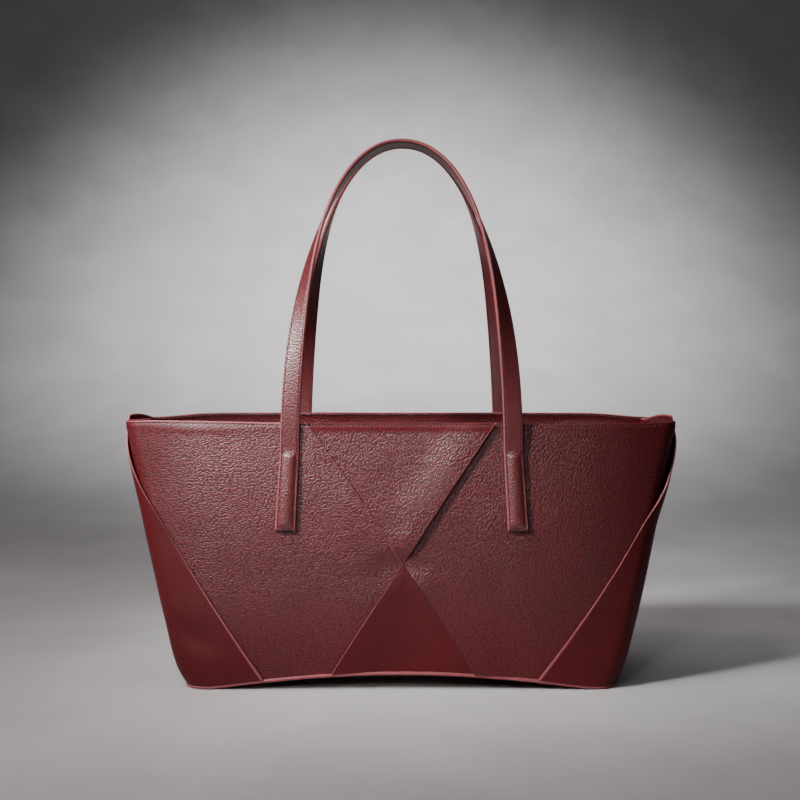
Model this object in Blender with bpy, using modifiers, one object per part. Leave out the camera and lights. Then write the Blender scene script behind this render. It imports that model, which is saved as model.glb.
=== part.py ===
"""A pleated leather tote bag: two faces of four overlapping panels, folded gussets, an arched base
and two strap handles that swing at their sewn tabs.

Units are metres, +Z is up, the front faces -Y and the bag stands on z = 0.
"""

import math

import bmesh
import bpy
from mathutils import Vector

MM = 0.001

# Overall size
RIM_HEIGHT = 216 * MM
BASE_HALF_LENGTH = 169.2 * MM
SIDE_FLARE = 9 * MM  # how far the foot of each side is drawn in below its straight line
SIDE_FLARE_HEIGHT = 10 * MM
MOUTH_HALF_WIDTH = 225.3 * MM
BASE_HALF_DEPTH = 63 * MM
MOUTH_HALF_DEPTH = 57.5 * MM
FACE_BELLY = 4 * MM  # how far the faces swell at half height
BASE_END_HALF_DEPTH = 61 * MM
MOUTH_END_HALF_DEPTH = 44 * MM
BASE_CORNER_RADIUS = 13 * MM
MOUTH_CORNER_RADIUS = 10 * MM
FACE_BOW_POWER = 2.2
END_TAPER_POWER = 1.5

# Folded gussets
PLEAT_DEPTH = 22 * MM
PLEAT_START_HEIGHT = 60 * MM
PLEAT_POWER = 1.3
FLAP_FOOT_REACH = 105 * MM  # from the middle of the face to the flap's slanted edge, at the foot
FLAP_RIM_REACH = 237.7 * MM  # the same round the corner, at the rim
FLAP_EDGE_BOW = 6 * MM
FLAP_TUCK = 15 * MM  # how far a panel runs on under the flap
PLEAT_MARGIN = 5 * MM  # what a panel's end keeps clear of the gusset's middle crease

# Arched base
BASE_ARCH = 12 * MM
ARCH_HALF_SPAN = 154 * MM
ARCH_POWER = 1.1
BASE_LEATHER = 1.6 * MM
BASE_BOARD = 2 * MM
WELT_RADIUS = 1.5 * MM

# Leather and lining
LEATHER = 1.4 * MM
LINING = 0.8 * MM
FACING = 0.8 * MM
GAP = 0.3 * MM  # between two pieces that are sewn or glued together
SHEET_GAP = 0.6 * MM  # the same between two curved layers of unlike grids
FLAP_GAP = 1.3 * MM  # under a gusset's flap, where the upper panels' raised edges pass
WELT_SPACE = 2 * (WELT_RADIUS + GAP)  # height that the welt takes under the panels

# Crossed seams of a face
CROSSING_X = 2 * MM
CROSSING_HEIGHT = 102 * MM
RIM_LEFT_X = -75.5 * MM
RIM_RIGHT_X = 76.5 * MM
FOOT_LEFT_X = -56.5 * MM
FOOT_RIGHT_X = 60 * MM
FOOT_MARK_HEIGHT = 11.8 * MM  # the height at which the two foot places are measured
TUCK = 7 * MM
TUCK_START = 22 * MM  # distance from the crossing at which a lower panel starts to run under
TUCK_FULL = 50 * MM
SHELF = 8 * MM  # width that an upper panel keeps at its full level along its edge
SHELF_RAMP = 9 * MM
SHELF_LIMIT_SHARE = 1 / 3  # of the distance from the crossing, next to it
LEVEL_START = 2 * MM
LEVEL_FULL = 8 * MM
SEAM_SLIT = 0.4 * MM
TIP_HEIGHT = 1.5 * MM

# Rim
FACING_HEIGHT = 24 * MM
LINING_LAP = 8 * MM
SIDE_LINING_EASE = 1.5 * MM  # what the side linings keep clear of the panels' ends

# Handles
TAB_DROP = 25 * MM  # from the rim down to the tab's upper end
TAB_LENGTH = 61.5 * MM
TAB_TOP_HEIGHT = RIM_HEIGHT - TAB_DROP
TAB_FOOT_HEIGHT = TAB_TOP_HEIGHT - TAB_LENGTH
TAB_FOOT_X = 93.2 * MM
HINGE_X = 89.6 * MM
TAB_FOOT_WIDTH = 16.6 * MM
STRAP_WIDTH = 15.6 * MM
STRAP_LAYER = 1.4 * MM
HANDLE_RISE = 229.6 * MM  # from the rim up to the strap's middle at the apex
HANDLE_LEG_PULL = 171 * MM  # how far the leg keeps its line above the tab
HANDLE_LEG_X = 87.4 * MM
HANDLE_SHOULDER_X = 49 * MM
HANDLE_APEX_Y = 9.4 * MM
HANDLE_STANDOFF = 4 * MM  # how far the leg pulls away from the face
TWIST_START = 21 * MM  # above the tab's upper end, where the quarter turn begins
TWIST_LENGTH = 153 * MM
FILLER_RISE = 1.7 * MM
FILLER = 1.3 * MM
FILLER_WIDTH = 7.2 * MM
FILLER_MARGIN = 6 * MM  # from the tab's ends to the filler
TAB_HEM = 2.2 * MM  # flat stitched edge of a tab
TAB_HEM_RAMP = 2 * MM
PATCH_MARGIN = 7 * MM
PATCH = 0.8 * MM

# Mesh density, in counts
PANEL_ROWS_BELOW = 5
PANEL_ROWS_ABOVE = 8
PANEL_COLUMNS = (4, 4, 3)  # on the flat, round the corner and on the side
ROW_SPREAD_POWER = 1.2  # rows lie closer together near the crossing
GORE_ROWS = 7
GORE_INNER_COLUMNS = 4
GUSSET_COLUMNS = (3, 5, 5)
RUN_LIMIT_SHARES = (0.15, 0.85)  # of a row, for where its run on the flat ends
TURN_LIMIT_SHARES = (0.25, 0.75)  # of what is left of it, for where its run round the corner ends
GUSSET_ROW_SHARES = (0, 0.05, 0.13, 0.28, 0.44, 0.56, 0.63, 0.69, 0.75, 0.81, 0.87, 0.93, 1)
LINING_COLUMNS = 8
LINING_ROWS = 8
SIDE_LINING_COLUMNS = 16
BASE_COLUMNS = 20
BASE_CORNER_COLUMNS = 4
BASE_ROWS = 4
WELT_CORNER_POINTS = 7
WELT_LONG_POINTS = 9
WELT_SHORT_POINTS = 2
STRAP_STEPS = 44
STRAP_COLUMNS = 2
TAB_ROWS = 10
PATCH_ROWS = 3
FACING_ROWS = 2
SETTLE_STEPS = 4
TANGENT_STEP_SHARE = 0.0001  # of a handle's length

# Materials: base colour and roughness
BURGUNDY = (0.115, 0.022, 0.026, 1), 0.5
EDGE_PAINT = (0.24, 0.06, 0.07, 1), 0.45
LINING_CLOTH = (0.075, 0.02, 0.022, 1), 0.85
BOARD_GREY = (0.28, 0.26, 0.24, 1), 0.9
FOAM_WHITE = (0.55, 0.52, 0.48, 1), 0.9

FRONT, REAR = 1, -1


def clear_scene():
    for old in list(bpy.data.objects):
        bpy.data.objects.remove(old, do_unlink=True)


def make_empty(name, location, collection):
    empty = bpy.data.objects.new(name, None)
    empty.location = location
    collection.objects.link(empty)
    return empty


def make_collection(name):
    collection = bpy.data.collections.new(name)
    bpy.context.scene.collection.children.link(collection)
    return collection


def make_material(name, look):
    color, roughness = look
    material = bpy.data.materials.new(name)
    material.use_nodes = True
    shader = material.node_tree.nodes["Principled BSDF"]
    shader.inputs["Base Color"].default_value = color
    shader.inputs["Roughness"].default_value = roughness
    shader.inputs["Metallic"].default_value = 0
    material.diffuse_color = color
    return material


def mix(a, b, share):
    return a + (b - a) * share


def clamp(value, low=0.0, high=1.0):
    return max(low, min(high, value))


def smooth(share):
    share = clamp(share)
    return share * share * (3 - 2 * share)


# The bag's form: one rounded section at each height


def base_lift(x):
    """Height of the base's underside: it stands on its two ends and arches between them."""
    inside = max(0.0, 1 - (x / ARCH_HALF_SPAN) ** 2)
    return BASE_ARCH * inside**ARCH_POWER


def foot_height(x):
    """Lower edge of the panels, on top of the welt."""
    return base_lift(x) + WELT_SPACE


def half_width(z):
    straight_foot = BASE_HALF_LENGTH + SIDE_FLARE
    straight = mix(straight_foot, MOUTH_HALF_WIDTH, z / RIM_HEIGHT)
    return straight - SIDE_FLARE * math.exp(-z / SIDE_FLARE_HEIGHT)


def end_half_depth(z):
    share = clamp(z / RIM_HEIGHT) ** END_TAPER_POWER
    return mix(BASE_END_HALF_DEPTH, MOUTH_END_HALF_DEPTH, share)


def face_bow(z):
    """How much further out the middle of a face is than its ends."""
    share = z / RIM_HEIGHT
    middle = mix(BASE_HALF_DEPTH, MOUTH_HALF_DEPTH, share)
    return middle + FACE_BELLY * math.sin(math.pi * clamp(share)) - end_half_depth(z)


def corner_radius(z):
    return mix(BASE_CORNER_RADIUS, MOUTH_CORNER_RADIUS, z / RIM_HEIGHT)


def pleat_depth(z):
    share = clamp((z - PLEAT_START_HEIGHT) / (RIM_HEIGHT - PLEAT_START_HEIGHT))
    return PLEAT_DEPTH * share**PLEAT_POWER


def flat_reach(z):
    """Way round from the middle of a face to where its corner begins."""
    return half_width(z) - corner_radius(z)


def side_reach(z):
    """Way round from the middle of a face to the middle of the side."""
    return flat_reach(z) + corner_radius(z) * math.pi / 2 + end_half_depth(z) - corner_radius(z)


def section_point(reach, z):
    """Point of the form, given the way round from the middle of the front, on the +X side."""
    radius = corner_radius(z)
    corner_x, corner_y = flat_reach(z), end_half_depth(z) - radius
    angle = (reach - corner_x) / radius
    if angle <= 0:
        x, y = reach, -end_half_depth(z)
    elif angle <= math.pi / 2:
        x = corner_x + radius * math.sin(angle)
        y = -corner_y - radius * math.cos(angle)
    else:
        y = -corner_y + radius * (angle - math.pi / 2)
        fold = 0.5 + 0.5 * math.cos(math.pi * y / corner_y)
        x = corner_x + radius - pleat_depth(z) * fold
        return Vector((x, y, z))
    bow = 1 - (abs(x) / half_width(z)) ** FACE_BOW_POWER
    return Vector((x, y - face_bow(z) * bow, z))


def form_point(reach, z):
    """The same on both sides of the middle: a negative reach goes round towards -X."""
    point = section_point(abs(reach), z)
    return point if reach >= 0 else Vector((-point.x, point.y, point.z))


def form_normal(reach, z):
    """Outward direction within the section, so that a layer keeps its height."""
    along = form_point(reach + GAP, z) - form_point(reach - GAP, z)
    return Vector((along.y, -along.x, 0)).normalized()


def on_form(reach, z, out):
    return form_point(reach, z) + form_normal(reach, z) * out


def turned(point, side):
    """A face is built at the front; the rear one is the same, turned half round."""
    return point if side == FRONT else Vector((-point.x, -point.y, point.z))


def settle(z, reach_at, height_at):
    """Where a column crosses a row: its way round depends on the height, and the other way round."""
    for _ in range(SETTLE_STEPS):
        reach = reach_at(z)
        z = height_at(reach)
    return reach, z


def sheet(name, columns, rows, place, thickness, material, collection, carrier=None):
    """A grid of leather or cloth put in place point by point, with its thickness on both sides."""
    origin = carrier.location if carrier else Vector()
    mesh = bpy.data.meshes.new(name)
    grid = bmesh.new()
    bmesh.ops.create_grid(grid, x_segments=columns, y_segments=rows, size=1)
    for vert in grid.verts:
        column = round((vert.co.x + 1) / 2 * columns)
        row = round((vert.co.y + 1) / 2 * rows)
        vert.co = place(column, row) - origin
    grid.to_mesh(mesh)
    grid.free()
    mesh.materials.append(material)
    mesh.shade_smooth()
    obj = bpy.data.objects.new(name, mesh)
    obj.parent = carrier
    collection.objects.link(obj)
    solidify = obj.modifiers.new("Thickness", "SOLIDIFY")
    solidify.thickness = thickness
    solidify.offset = 0
    return obj


# The crossed seams of a face


def seam_x(end_x, end_height, z):
    """Place of a seam that runs straight from the crossing to its end."""
    return mix(CROSSING_X, end_x, (z - CROSSING_HEIGHT) / (end_height - CROSSING_HEIGHT))


def seam_tilt(end_x, end_height):
    """Width across a seam, measured along the row, for one unit square to it."""
    run, rise = end_x - CROSSING_X, end_height - CROSSING_HEIGHT
    return math.hypot(run, rise) / abs(rise)


def from_crossing(x, z):
    return math.hypot(x - CROSSING_X, z - CROSSING_HEIGHT)


def tuck_width(distance):
    """How far a lower panel runs on under the upper one; next to the crossing they only abut."""
    share = (distance - TUCK_START) / (TUCK_FULL - TUCK_START)
    return -SEAM_SLIT + (TUCK + SEAM_SLIT) * clamp(share)


def shelf_widths(distance):
    """Widths of an upper panel's level edge and of the slope behind it, narrow at the crossing."""
    near = max(distance, LEVEL_FULL)
    return min(SHELF, near * SHELF_LIMIT_SHARE), min(SHELF_RAMP, near * SHELF_LIMIT_SHARE)


def level_height(distance_to_seam, distance):
    """How far a panel is lifted near the seam where it is the upper one."""
    shelf, ramp = shelf_widths(distance)
    rise = smooth((distance - LEVEL_START) / (LEVEL_FULL - LEVEL_START))
    return (LEATHER + GAP) * rise * (1 - smooth((distance_to_seam - shelf) / ramp))


def seam_distance(x, z, end_x, end_height):
    """Distance from a point to a seam's line, which starts at the crossing."""
    run, rise = end_x - CROSSING_X, end_height - CROSSING_HEIGHT
    length = math.hypot(run, rise)
    dx, dz = x - CROSSING_X, z - CROSSING_HEIGHT
    along = (dx * run + dz * rise) / length
    if along < 0:
        return math.hypot(dx, dz)
    return abs(dx * rise - dz * run) / length


def flap_reach(z):
    """Slanted edge of a gusset's flap, as a way round from the middle of the face."""
    share = z / RIM_HEIGHT
    return mix(FLAP_FOOT_REACH, FLAP_RIM_REACH, share) + FLAP_EDGE_BOW * math.sin(math.pi * clamp(share))


def panel_end(z):
    return min(flap_reach(z) + FLAP_TUCK, side_reach(z) - PLEAT_MARGIN)


def stations(start, end, z, counts):
    """Ways round from start to end, in three runs: on the flat, round the corner, on the side."""
    flat, turn_end = flat_reach(z), flat_reach(z) + corner_radius(z) * math.pi / 2
    first = clamp(flat, *(mix(start, end, share) for share in RUN_LIMIT_SHARES))
    second = clamp(turn_end, *(mix(first, end, share) for share in TURN_LIMIT_SHARES))
    places = [start]
    for low, high, count in zip((start, first, second), (first, second, end), counts):
        places += [mix(low, high, (step + 1) / count) for step in range(count)]
    return places


def panel_row_height(row, reach):
    """Rows of a whole panel: the crossing's height is always one of them."""
    if row <= PANEL_ROWS_BELOW:
        share = (1 - row / PANEL_ROWS_BELOW) ** ROW_SPREAD_POWER
        return mix(CROSSING_HEIGHT, foot_height(reach), share)
    share = ((row - PANEL_ROWS_BELOW) / PANEL_ROWS_ABOVE) ** ROW_SPREAD_POWER
    return mix(CROSSING_HEIGHT, RIM_HEIGHT, share)


def side_panel(name, over_left, side, leather, collection):
    """The left panel is the upper one at the rim's seam, the right panel at the foot's seam.

    Both are built with the same columns: two that follow the shelf along the seams, and even ones
    out to the gusset.
    """
    sign = -1 if over_left else 1
    rim_x = RIM_LEFT_X if over_left else RIM_RIGHT_X
    foot_x = FOOT_LEFT_X if over_left else FOOT_RIGHT_X
    over = (rim_x, RIM_HEIGHT) if over_left else (foot_x, FOOT_MARK_HEIGHT)
    columns = 2 + sum(PANEL_COLUMNS)
    rows = PANEL_ROWS_BELOW + PANEL_ROWS_ABOVE

    def seam_edge(z):
        if abs(z - CROSSING_HEIGHT) < GAP:
            return CROSSING_X + sign * SEAM_SLIT
        end = (rim_x, RIM_HEIGHT) if z > CROSSING_HEIGHT else (foot_x, FOOT_MARK_HEIGHT)
        line = seam_x(*end, z)
        if end == over:
            return line
        return line - sign * tuck_width(from_crossing(line, z)) * seam_tilt(*end)

    def column_reach(column, z):
        edge = seam_edge(z)
        shelf, ramp = shelf_widths(from_crossing(edge, z))
        tilt = seam_tilt(*over)
        if column < 2:
            return edge + sign * column * shelf * tilt
        out = stations(sign * edge + (shelf + ramp) * tilt, panel_end(z), z, PANEL_COLUMNS)
        return sign * out[column - 2]

    def place(column, row):
        reach, z = settle(
            panel_row_height(row, 0),
            lambda z: column_reach(column, z),
            lambda reach: panel_row_height(row, reach),
        )
        lift = level_height(seam_distance(reach, z, *over), from_crossing(reach, z))
        return turned(on_form(reach, z, LEATHER / 2 + lift), side)

    return sheet(name, columns, rows, place, LEATHER, leather, collection)


def gore(name, is_upper, side, leather, collection):
    """A triangle between the two seams: tucked under along one and laid over along the other."""
    end_height = RIM_HEIGHT if is_upper else FOOT_MARK_HEIGHT
    over_x = RIM_RIGHT_X if is_upper else FOOT_LEFT_X
    under_x = RIM_LEFT_X if is_upper else FOOT_RIGHT_X
    sign = 1 if is_upper else -1
    columns = 2 + GORE_INNER_COLUMNS

    def column_reach(column, z):
        over = seam_x(over_x, end_height, z)
        line = seam_x(under_x, end_height, z)
        under = line - sign * tuck_width(from_crossing(line, z)) * seam_tilt(under_x, end_height)
        shelf, ramp = shelf_widths(from_crossing(over, z))
        tilt, width = seam_tilt(over_x, end_height), abs(over - under)
        limit = width * SHELF_LIMIT_SHARE
        steps = (0, min(shelf * tilt, limit), min((shelf + ramp) * tilt, 2 * limit))
        if column < len(steps):
            return over - sign * steps[column]
        first = over - sign * steps[-1]
        return mix(first, under, (column - 2) / (columns - 2))

    def place(column, row):
        tip = CROSSING_HEIGHT + sign * TIP_HEIGHT
        share = (row / GORE_ROWS) ** ROW_SPREAD_POWER
        reach, z = settle(
            mix(tip, end_height, share),
            lambda z: column_reach(column, z),
            lambda reach: mix(tip, RIM_HEIGHT if is_upper else foot_height(reach), share),
        )
        distance = seam_distance(reach, z, over_x, end_height)
        lift = level_height(distance, from_crossing(reach, z))
        return turned(on_form(reach, z, LEATHER / 2 + lift), side)

    return sheet(name, columns, GORE_ROWS, place, LEATHER, leather, collection)


def gusset(name, sign, leather, collection):
    """One side of the bag, from its front flap round to its rear flap."""
    half = sum(GUSSET_COLUMNS)

    def place(column, row):
        station, share = half - abs(column - half), GUSSET_ROW_SHARES[row]
        reach, z = settle(
            mix(WELT_SPACE, RIM_HEIGHT, share),
            lambda z: stations(flap_reach(z), side_reach(z), z, GUSSET_COLUMNS)[station],
            lambda reach: mix(foot_height(reach), RIM_HEIGHT, share),
        )
        point = on_form(reach, z, LEATHER + FLAP_GAP + LEATHER / 2)
        if column > half:
            point.y = -point.y
        point.x *= sign
        return point

    return sheet(name, 2 * half, len(GUSSET_ROW_SHARES) - 1, place, LEATHER, leather, collection)


# The inside


def face_lining(name, side, cloth, collection):
    out = -(2 * SHEET_GAP + PATCH + LINING / 2)
    top = RIM_HEIGHT - FACING_HEIGHT + LINING_LAP

    def place(column, row):
        reach, z = settle(
            RIM_HEIGHT / 2,
            lambda z: mix(-flat_reach(z), flat_reach(z), column / LINING_COLUMNS),
            lambda reach: mix(lining_foot(reach), top, row / LINING_ROWS),
        )
        return turned(on_form(reach, z, out), side)

    return sheet(name, LINING_COLUMNS, LINING_ROWS, place, LINING, cloth, collection)


def lining_foot(x):
    return base_lift(x) + BASE_LEATHER + BASE_BOARD + LINING + 5 * GAP


def side_lining(name, sign, cloth, collection):
    out = -(2 * SHEET_GAP + PATCH + LINING / 2 + SIDE_LINING_EASE)
    half = SIDE_LINING_COLUMNS // 2

    def place(column, row):
        share = abs(column - half) / half
        z = mix(lining_foot(half_width(0)), RIM_HEIGHT, row / LINING_ROWS)
        reach = mix(side_reach(z), flat_reach(z) + 2 * GAP, share)
        point = on_form(reach, z, out)
        if column > half:
            point.y = -point.y
        point.x *= sign
        return point

    return sheet(name, SIDE_LINING_COLUMNS, LINING_ROWS, place, LINING, cloth, collection)


def rim_facing(name, side, leather, collection):
    def place(column, row):
        z = mix(RIM_HEIGHT - FACING_HEIGHT, RIM_HEIGHT, row / FACING_ROWS)
        reach = mix(-flat_reach(z), flat_reach(z), column / (2 * LINING_COLUMNS))
        return turned(on_form(reach, z, -(SHEET_GAP + FACING / 2)), side)

    return sheet(name, 2 * LINING_COLUMNS, FACING_ROWS, place, FACING, leather, collection)


def base_sheet(name, lift, inset, thickness, material, collection):
    """A layer of the base: a rounded rectangle that follows the arch."""
    length = half_width(WELT_SPACE) - inset
    radius = corner_radius(WELT_SPACE) - inset
    straight = length - radius
    middle_columns = BASE_COLUMNS - 2 * BASE_CORNER_COLUMNS

    def column_x(column):
        if column < BASE_CORNER_COLUMNS:
            angle = math.pi / 2 * column / BASE_CORNER_COLUMNS
            return -straight - radius * math.cos(angle)
        if column > BASE_COLUMNS - BASE_CORNER_COLUMNS:
            return -column_x(BASE_COLUMNS - column)
        return mix(-straight, straight, (column - BASE_CORNER_COLUMNS) / middle_columns)

    def half_depth(x):
        past = max(0.0, abs(x) - straight)
        corner = radius - math.sqrt(max(0.0, radius**2 - past**2))
        bow = 1 - (min(abs(x), length) / half_width(WELT_SPACE)) ** FACE_BOW_POWER
        return end_half_depth(WELT_SPACE) - inset + face_bow(WELT_SPACE) * bow - corner

    def place(column, row):
        x = column_x(column)
        y = half_depth(x) * mix(-1, 1, row / BASE_ROWS)
        return Vector((x, y, base_lift(x) + lift + thickness / 2))

    return sheet(name, BASE_COLUMNS, BASE_ROWS, place, thickness, material, collection)


def welt_point(reach, quarter):
    """Point of the welt's middle line; the quarters go round the base from the front's +X half."""
    point = on_form(reach, WELT_SPACE, WELT_RADIUS)
    x, y = point.x, point.y
    if quarter in (1, 2):
        y = -y
    if quarter in (2, 3):
        x = -x
    return (x, y, base_lift(x) + WELT_RADIUS, 1)


def base_welt(name, leather, collection):
    z = WELT_SPACE
    flat, middle = flat_reach(z), side_reach(z)
    corner_end = flat + corner_radius(z) * math.pi / 2
    quarter = [flat * i / WELT_LONG_POINTS for i in range(WELT_LONG_POINTS)]
    quarter += [mix(flat, corner_end, i / WELT_CORNER_POINTS) for i in range(WELT_CORNER_POINTS)]
    quarter += [mix(corner_end, middle, i / WELT_SHORT_POINTS) for i in range(WELT_SHORT_POINTS + 1)]
    points = [welt_point(reach, 0) for reach in quarter]
    points += [welt_point(reach, 1) for reach in reversed(quarter[:-1])]
    points += [welt_point(reach, 2) for reach in quarter[1:]]
    points += [welt_point(reach, 3) for reach in reversed(quarter[1:-1])]
    curve = bpy.data.curves.new(name, "CURVE")
    curve.dimensions = "3D"
    curve.bevel_depth = WELT_RADIUS
    curve.bevel_resolution = 1
    spline = curve.splines.new("POLY")
    spline.points.add(len(points) - 1)
    for spline_point, point in zip(spline.points, points):
        spline_point.co = point
    spline.use_cyclic_u = True
    curve.materials.append(leather)
    obj = bpy.data.objects.new(name, curve)
    collection.objects.link(obj)
    return obj


# Handles


def tab_center(z):
    share = (z - TAB_FOOT_HEIGHT) / (TAB_TOP_HEIGHT - TAB_FOOT_HEIGHT)
    return mix(TAB_FOOT_X, HINGE_X, share)


def tab_half_width(z):
    share = (z - TAB_FOOT_HEIGHT) / (TAB_TOP_HEIGHT - TAB_FOOT_HEIGHT)
    return mix(TAB_FOOT_WIDTH, STRAP_WIDTH, share) / 2


def strap_tab(name, sign, side, leather, collection):
    """The sewn end of a strap: a flat hem all round and a raised middle over its filler."""
    steps = (0, TAB_HEM, TAB_HEM + TAB_HEM_RAMP)
    columns = 2 * len(steps)

    def across(column, z):
        inner = min(column, columns - column)
        half = tab_half_width(z)
        from_edge = steps[inner] if inner < len(steps) else half
        return (half - from_edge) * (1 if column > columns / 2 else -1)

    def row_height(row):
        inner = min(row, TAB_ROWS - row)
        if inner < len(steps):
            from_end = steps[inner]
            return TAB_FOOT_HEIGHT + from_end if row < TAB_ROWS / 2 else TAB_TOP_HEIGHT - from_end
        low, high = TAB_FOOT_HEIGHT + steps[-1], TAB_TOP_HEIGHT - steps[-1]
        return mix(low, high, (row - len(steps) + 1) / (TAB_ROWS - 2 * len(steps) + 2))

    def place(column, row):
        z = row_height(row)
        offset = across(column, z)
        edge = min(tab_half_width(z) - abs(offset), z - TAB_FOOT_HEIGHT, TAB_TOP_HEIGHT - z)
        rise = FILLER_RISE * smooth((edge - TAB_HEM) / TAB_HEM_RAMP)
        reach = sign * (tab_center(z) + offset)
        return turned(on_form(reach, z, LEATHER + GAP + STRAP_LAYER / 2 + rise), side)

    return sheet(name, columns, TAB_ROWS, place, STRAP_LAYER, leather, collection)


def tab_filler(name, sign, side, foam, collection):
    def place(column, row):
        low, high = TAB_FOOT_HEIGHT + FILLER_MARGIN, TAB_TOP_HEIGHT - FILLER_MARGIN
        z = mix(low, high, row / PATCH_ROWS)
        reach = sign * (tab_center(z) + mix(-FILLER_WIDTH, FILLER_WIDTH, column) / 2)
        return turned(on_form(reach, z, LEATHER + GAP + FILLER / 2), side)

    return sheet(name, 1, PATCH_ROWS, place, FILLER, foam, collection)


def anchor_patch(name, sign, side, cloth, collection):
    def place(column, row):
        top = RIM_HEIGHT - FACING_HEIGHT - GAP
        z = mix(TAB_FOOT_HEIGHT - PATCH_MARGIN, top, row / PATCH_ROWS)
        half = TAB_FOOT_WIDTH / 2 + PATCH_MARGIN
        reach = sign * (tab_center(z) + mix(-half, half, column / 2))
        return turned(on_form(reach, z, -(SHEET_GAP + PATCH / 2)), side)

    return sheet(name, 2, PATCH_ROWS, place, PATCH, cloth, collection)


def hinge_out():
    """Distance of the strap's middle from the form, where it leaves the tab."""
    return LEATHER + GAP + STRAP_LAYER + GAP / 2


def hinge_point():
    """Where a handle folds: the strap's outer face at its lower end, on the +X side."""
    z = TAB_TOP_HEIGHT + GAP / 2
    outer = on_form(HINGE_X, z, hinge_out() + GAP / 2 + STRAP_LAYER)
    return Vector((HINGE_X, outer.y, z))


def bezier(points, share):
    a, b, c, d = points
    rest = 1 - share
    return a * rest**3 + b * 3 * rest**2 * share + c * 3 * rest * share**2 + d * share**3


def handle_middle(share):
    """Middle line of a strap: 0 and 1 are its two ends, on the -X and +X sides, 0.5 the apex."""
    start = hinge_point() + Vector((0, GAP / 2 + STRAP_LAYER, GAP / 2))
    leg = Vector((HANDLE_LEG_X, start.y - HANDLE_STANDOFF, start.z + HANDLE_LEG_PULL))
    shoulder = Vector((HANDLE_SHOULDER_X, -HANDLE_APEX_Y, RIM_HEIGHT + HANDLE_RISE))
    apex = Vector((0, -HANDLE_APEX_Y, RIM_HEIGHT + HANDLE_RISE))
    along = 1 - abs(2 * share - 1)
    point = bezier((start, leg, shoulder, apex), along)
    if share < 0.5:
        point.x = -point.x
    return point


def strap_frame(share):
    """Width direction and outward normal of the strap, a quarter turn round between rim and apex."""
    before, after = max(0, share - TANGENT_STEP_SHARE), min(1, share + TANGENT_STEP_SHARE)
    tangent = (handle_middle(after) - handle_middle(before)).normalized()
    middle = handle_middle(share)
    twist = math.pi / 2 * clamp((middle.z - TAB_TOP_HEIGHT - TWIST_START) / TWIST_LENGTH)
    front = form_normal(math.copysign(HINGE_X, share - 0.5), TAB_TOP_HEIGHT)
    front = (front - tangent * front.dot(tangent)).normalized()
    outward = tangent.cross(front)
    if outward.dot(Vector((middle.x, 0, middle.z - TAB_TOP_HEIGHT))) < 0:
        outward = -outward
    normal = front * math.cos(twist) + outward * math.sin(twist)
    return tangent.cross(normal).normalized(), normal


def handle_hinge(name, side, collection):
    """Empty on the line that a handle swings about, between its two tabs."""
    place = hinge_point()
    return make_empty(name, turned(Vector((0, place.y, place.z)), side), collection)


def handle_layer(name, side, layer_out, hinge, leather, collection):
    """One of a handle's two strap layers, carried by the handle's hinge."""

    def place(column, row):
        share = row / STRAP_STEPS
        width, normal = strap_frame(share)
        offset = mix(-STRAP_WIDTH, STRAP_WIDTH, column / STRAP_COLUMNS) / 2
        point = handle_middle(share) + width * offset + normal * layer_out
        return turned(point, side)

    return sheet(name, STRAP_COLUMNS, STRAP_STEPS, place, STRAP_LAYER, leather, collection, hinge)


def build():
    clear_scene()
    parts = make_collection("pleated_tote_bag")
    leather = make_material("burgundy_leather", BURGUNDY)
    edge = make_material("edge_painted_leather", EDGE_PAINT)
    cloth = make_material("lining_cloth", LINING_CLOTH)
    board = make_material("base_board", BOARD_GREY)
    foam = make_material("filler_foam", FOAM_WHITE)

    for face, side in (("front", FRONT), ("rear", REAR)):
        side_panel(f"{face}_left_panel", True, side, leather, parts)
        side_panel(f"{face}_right_panel", False, side, leather, parts)
        gore(f"{face}_upper_gore", True, side, leather, parts)
        gore(f"{face}_lower_gore", False, side, leather, parts)
        face_lining(f"{face}_lining", side, cloth, parts)
        rim_facing(f"{face}_rim_facing", side, leather, parts)
        for hand, sign in (("left", -1), ("right", 1)):
            strap_tab(f"{face}_{hand}_strap_tab", sign, side, leather, parts)
            tab_filler(f"{face}_{hand}_tab_filler", sign, side, foam, parts)
            anchor_patch(f"{face}_{hand}_anchor_patch", sign, side, cloth, parts)
        layer_out = (STRAP_LAYER + GAP) / 2
        hinge = handle_hinge(f"{face}_handle_hinge", side, parts)
        handle_layer(f"{face}_handle_outer_strap", side, layer_out, hinge, leather, parts)
        handle_layer(f"{face}_handle_inner_strap", side, -layer_out, hinge, leather, parts)

    for hand, sign in (("left", -1), ("right", 1)):
        gusset(f"{hand}_gusset", sign, leather, parts)
        side_lining(f"{hand}_lining", sign, cloth, parts)

    base_sheet("base_panel", 0, GAP, BASE_LEATHER, leather, parts)
    base_sheet("base_board", BASE_LEATHER + GAP, GAP, BASE_BOARD, board, parts)
    base_sheet("base_lining", BASE_LEATHER + BASE_BOARD + 2 * GAP, GAP, LINING, cloth, parts)
    base_welt("base_welt", edge, parts)


build()
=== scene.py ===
"""A pleated leather tote bag, dressed over its solids: crossed face panels, folded gussets, an
arched base with a welt, sewn strap tabs and two quarter-twisted handles.

Units are metres, +Z is up and the front faces -Y.
"""

import math

import bmesh
import bpy
from bpy.props import FloatProperty, FloatVectorProperty, PointerProperty
from mathutils import Matrix, Vector, noise


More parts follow.
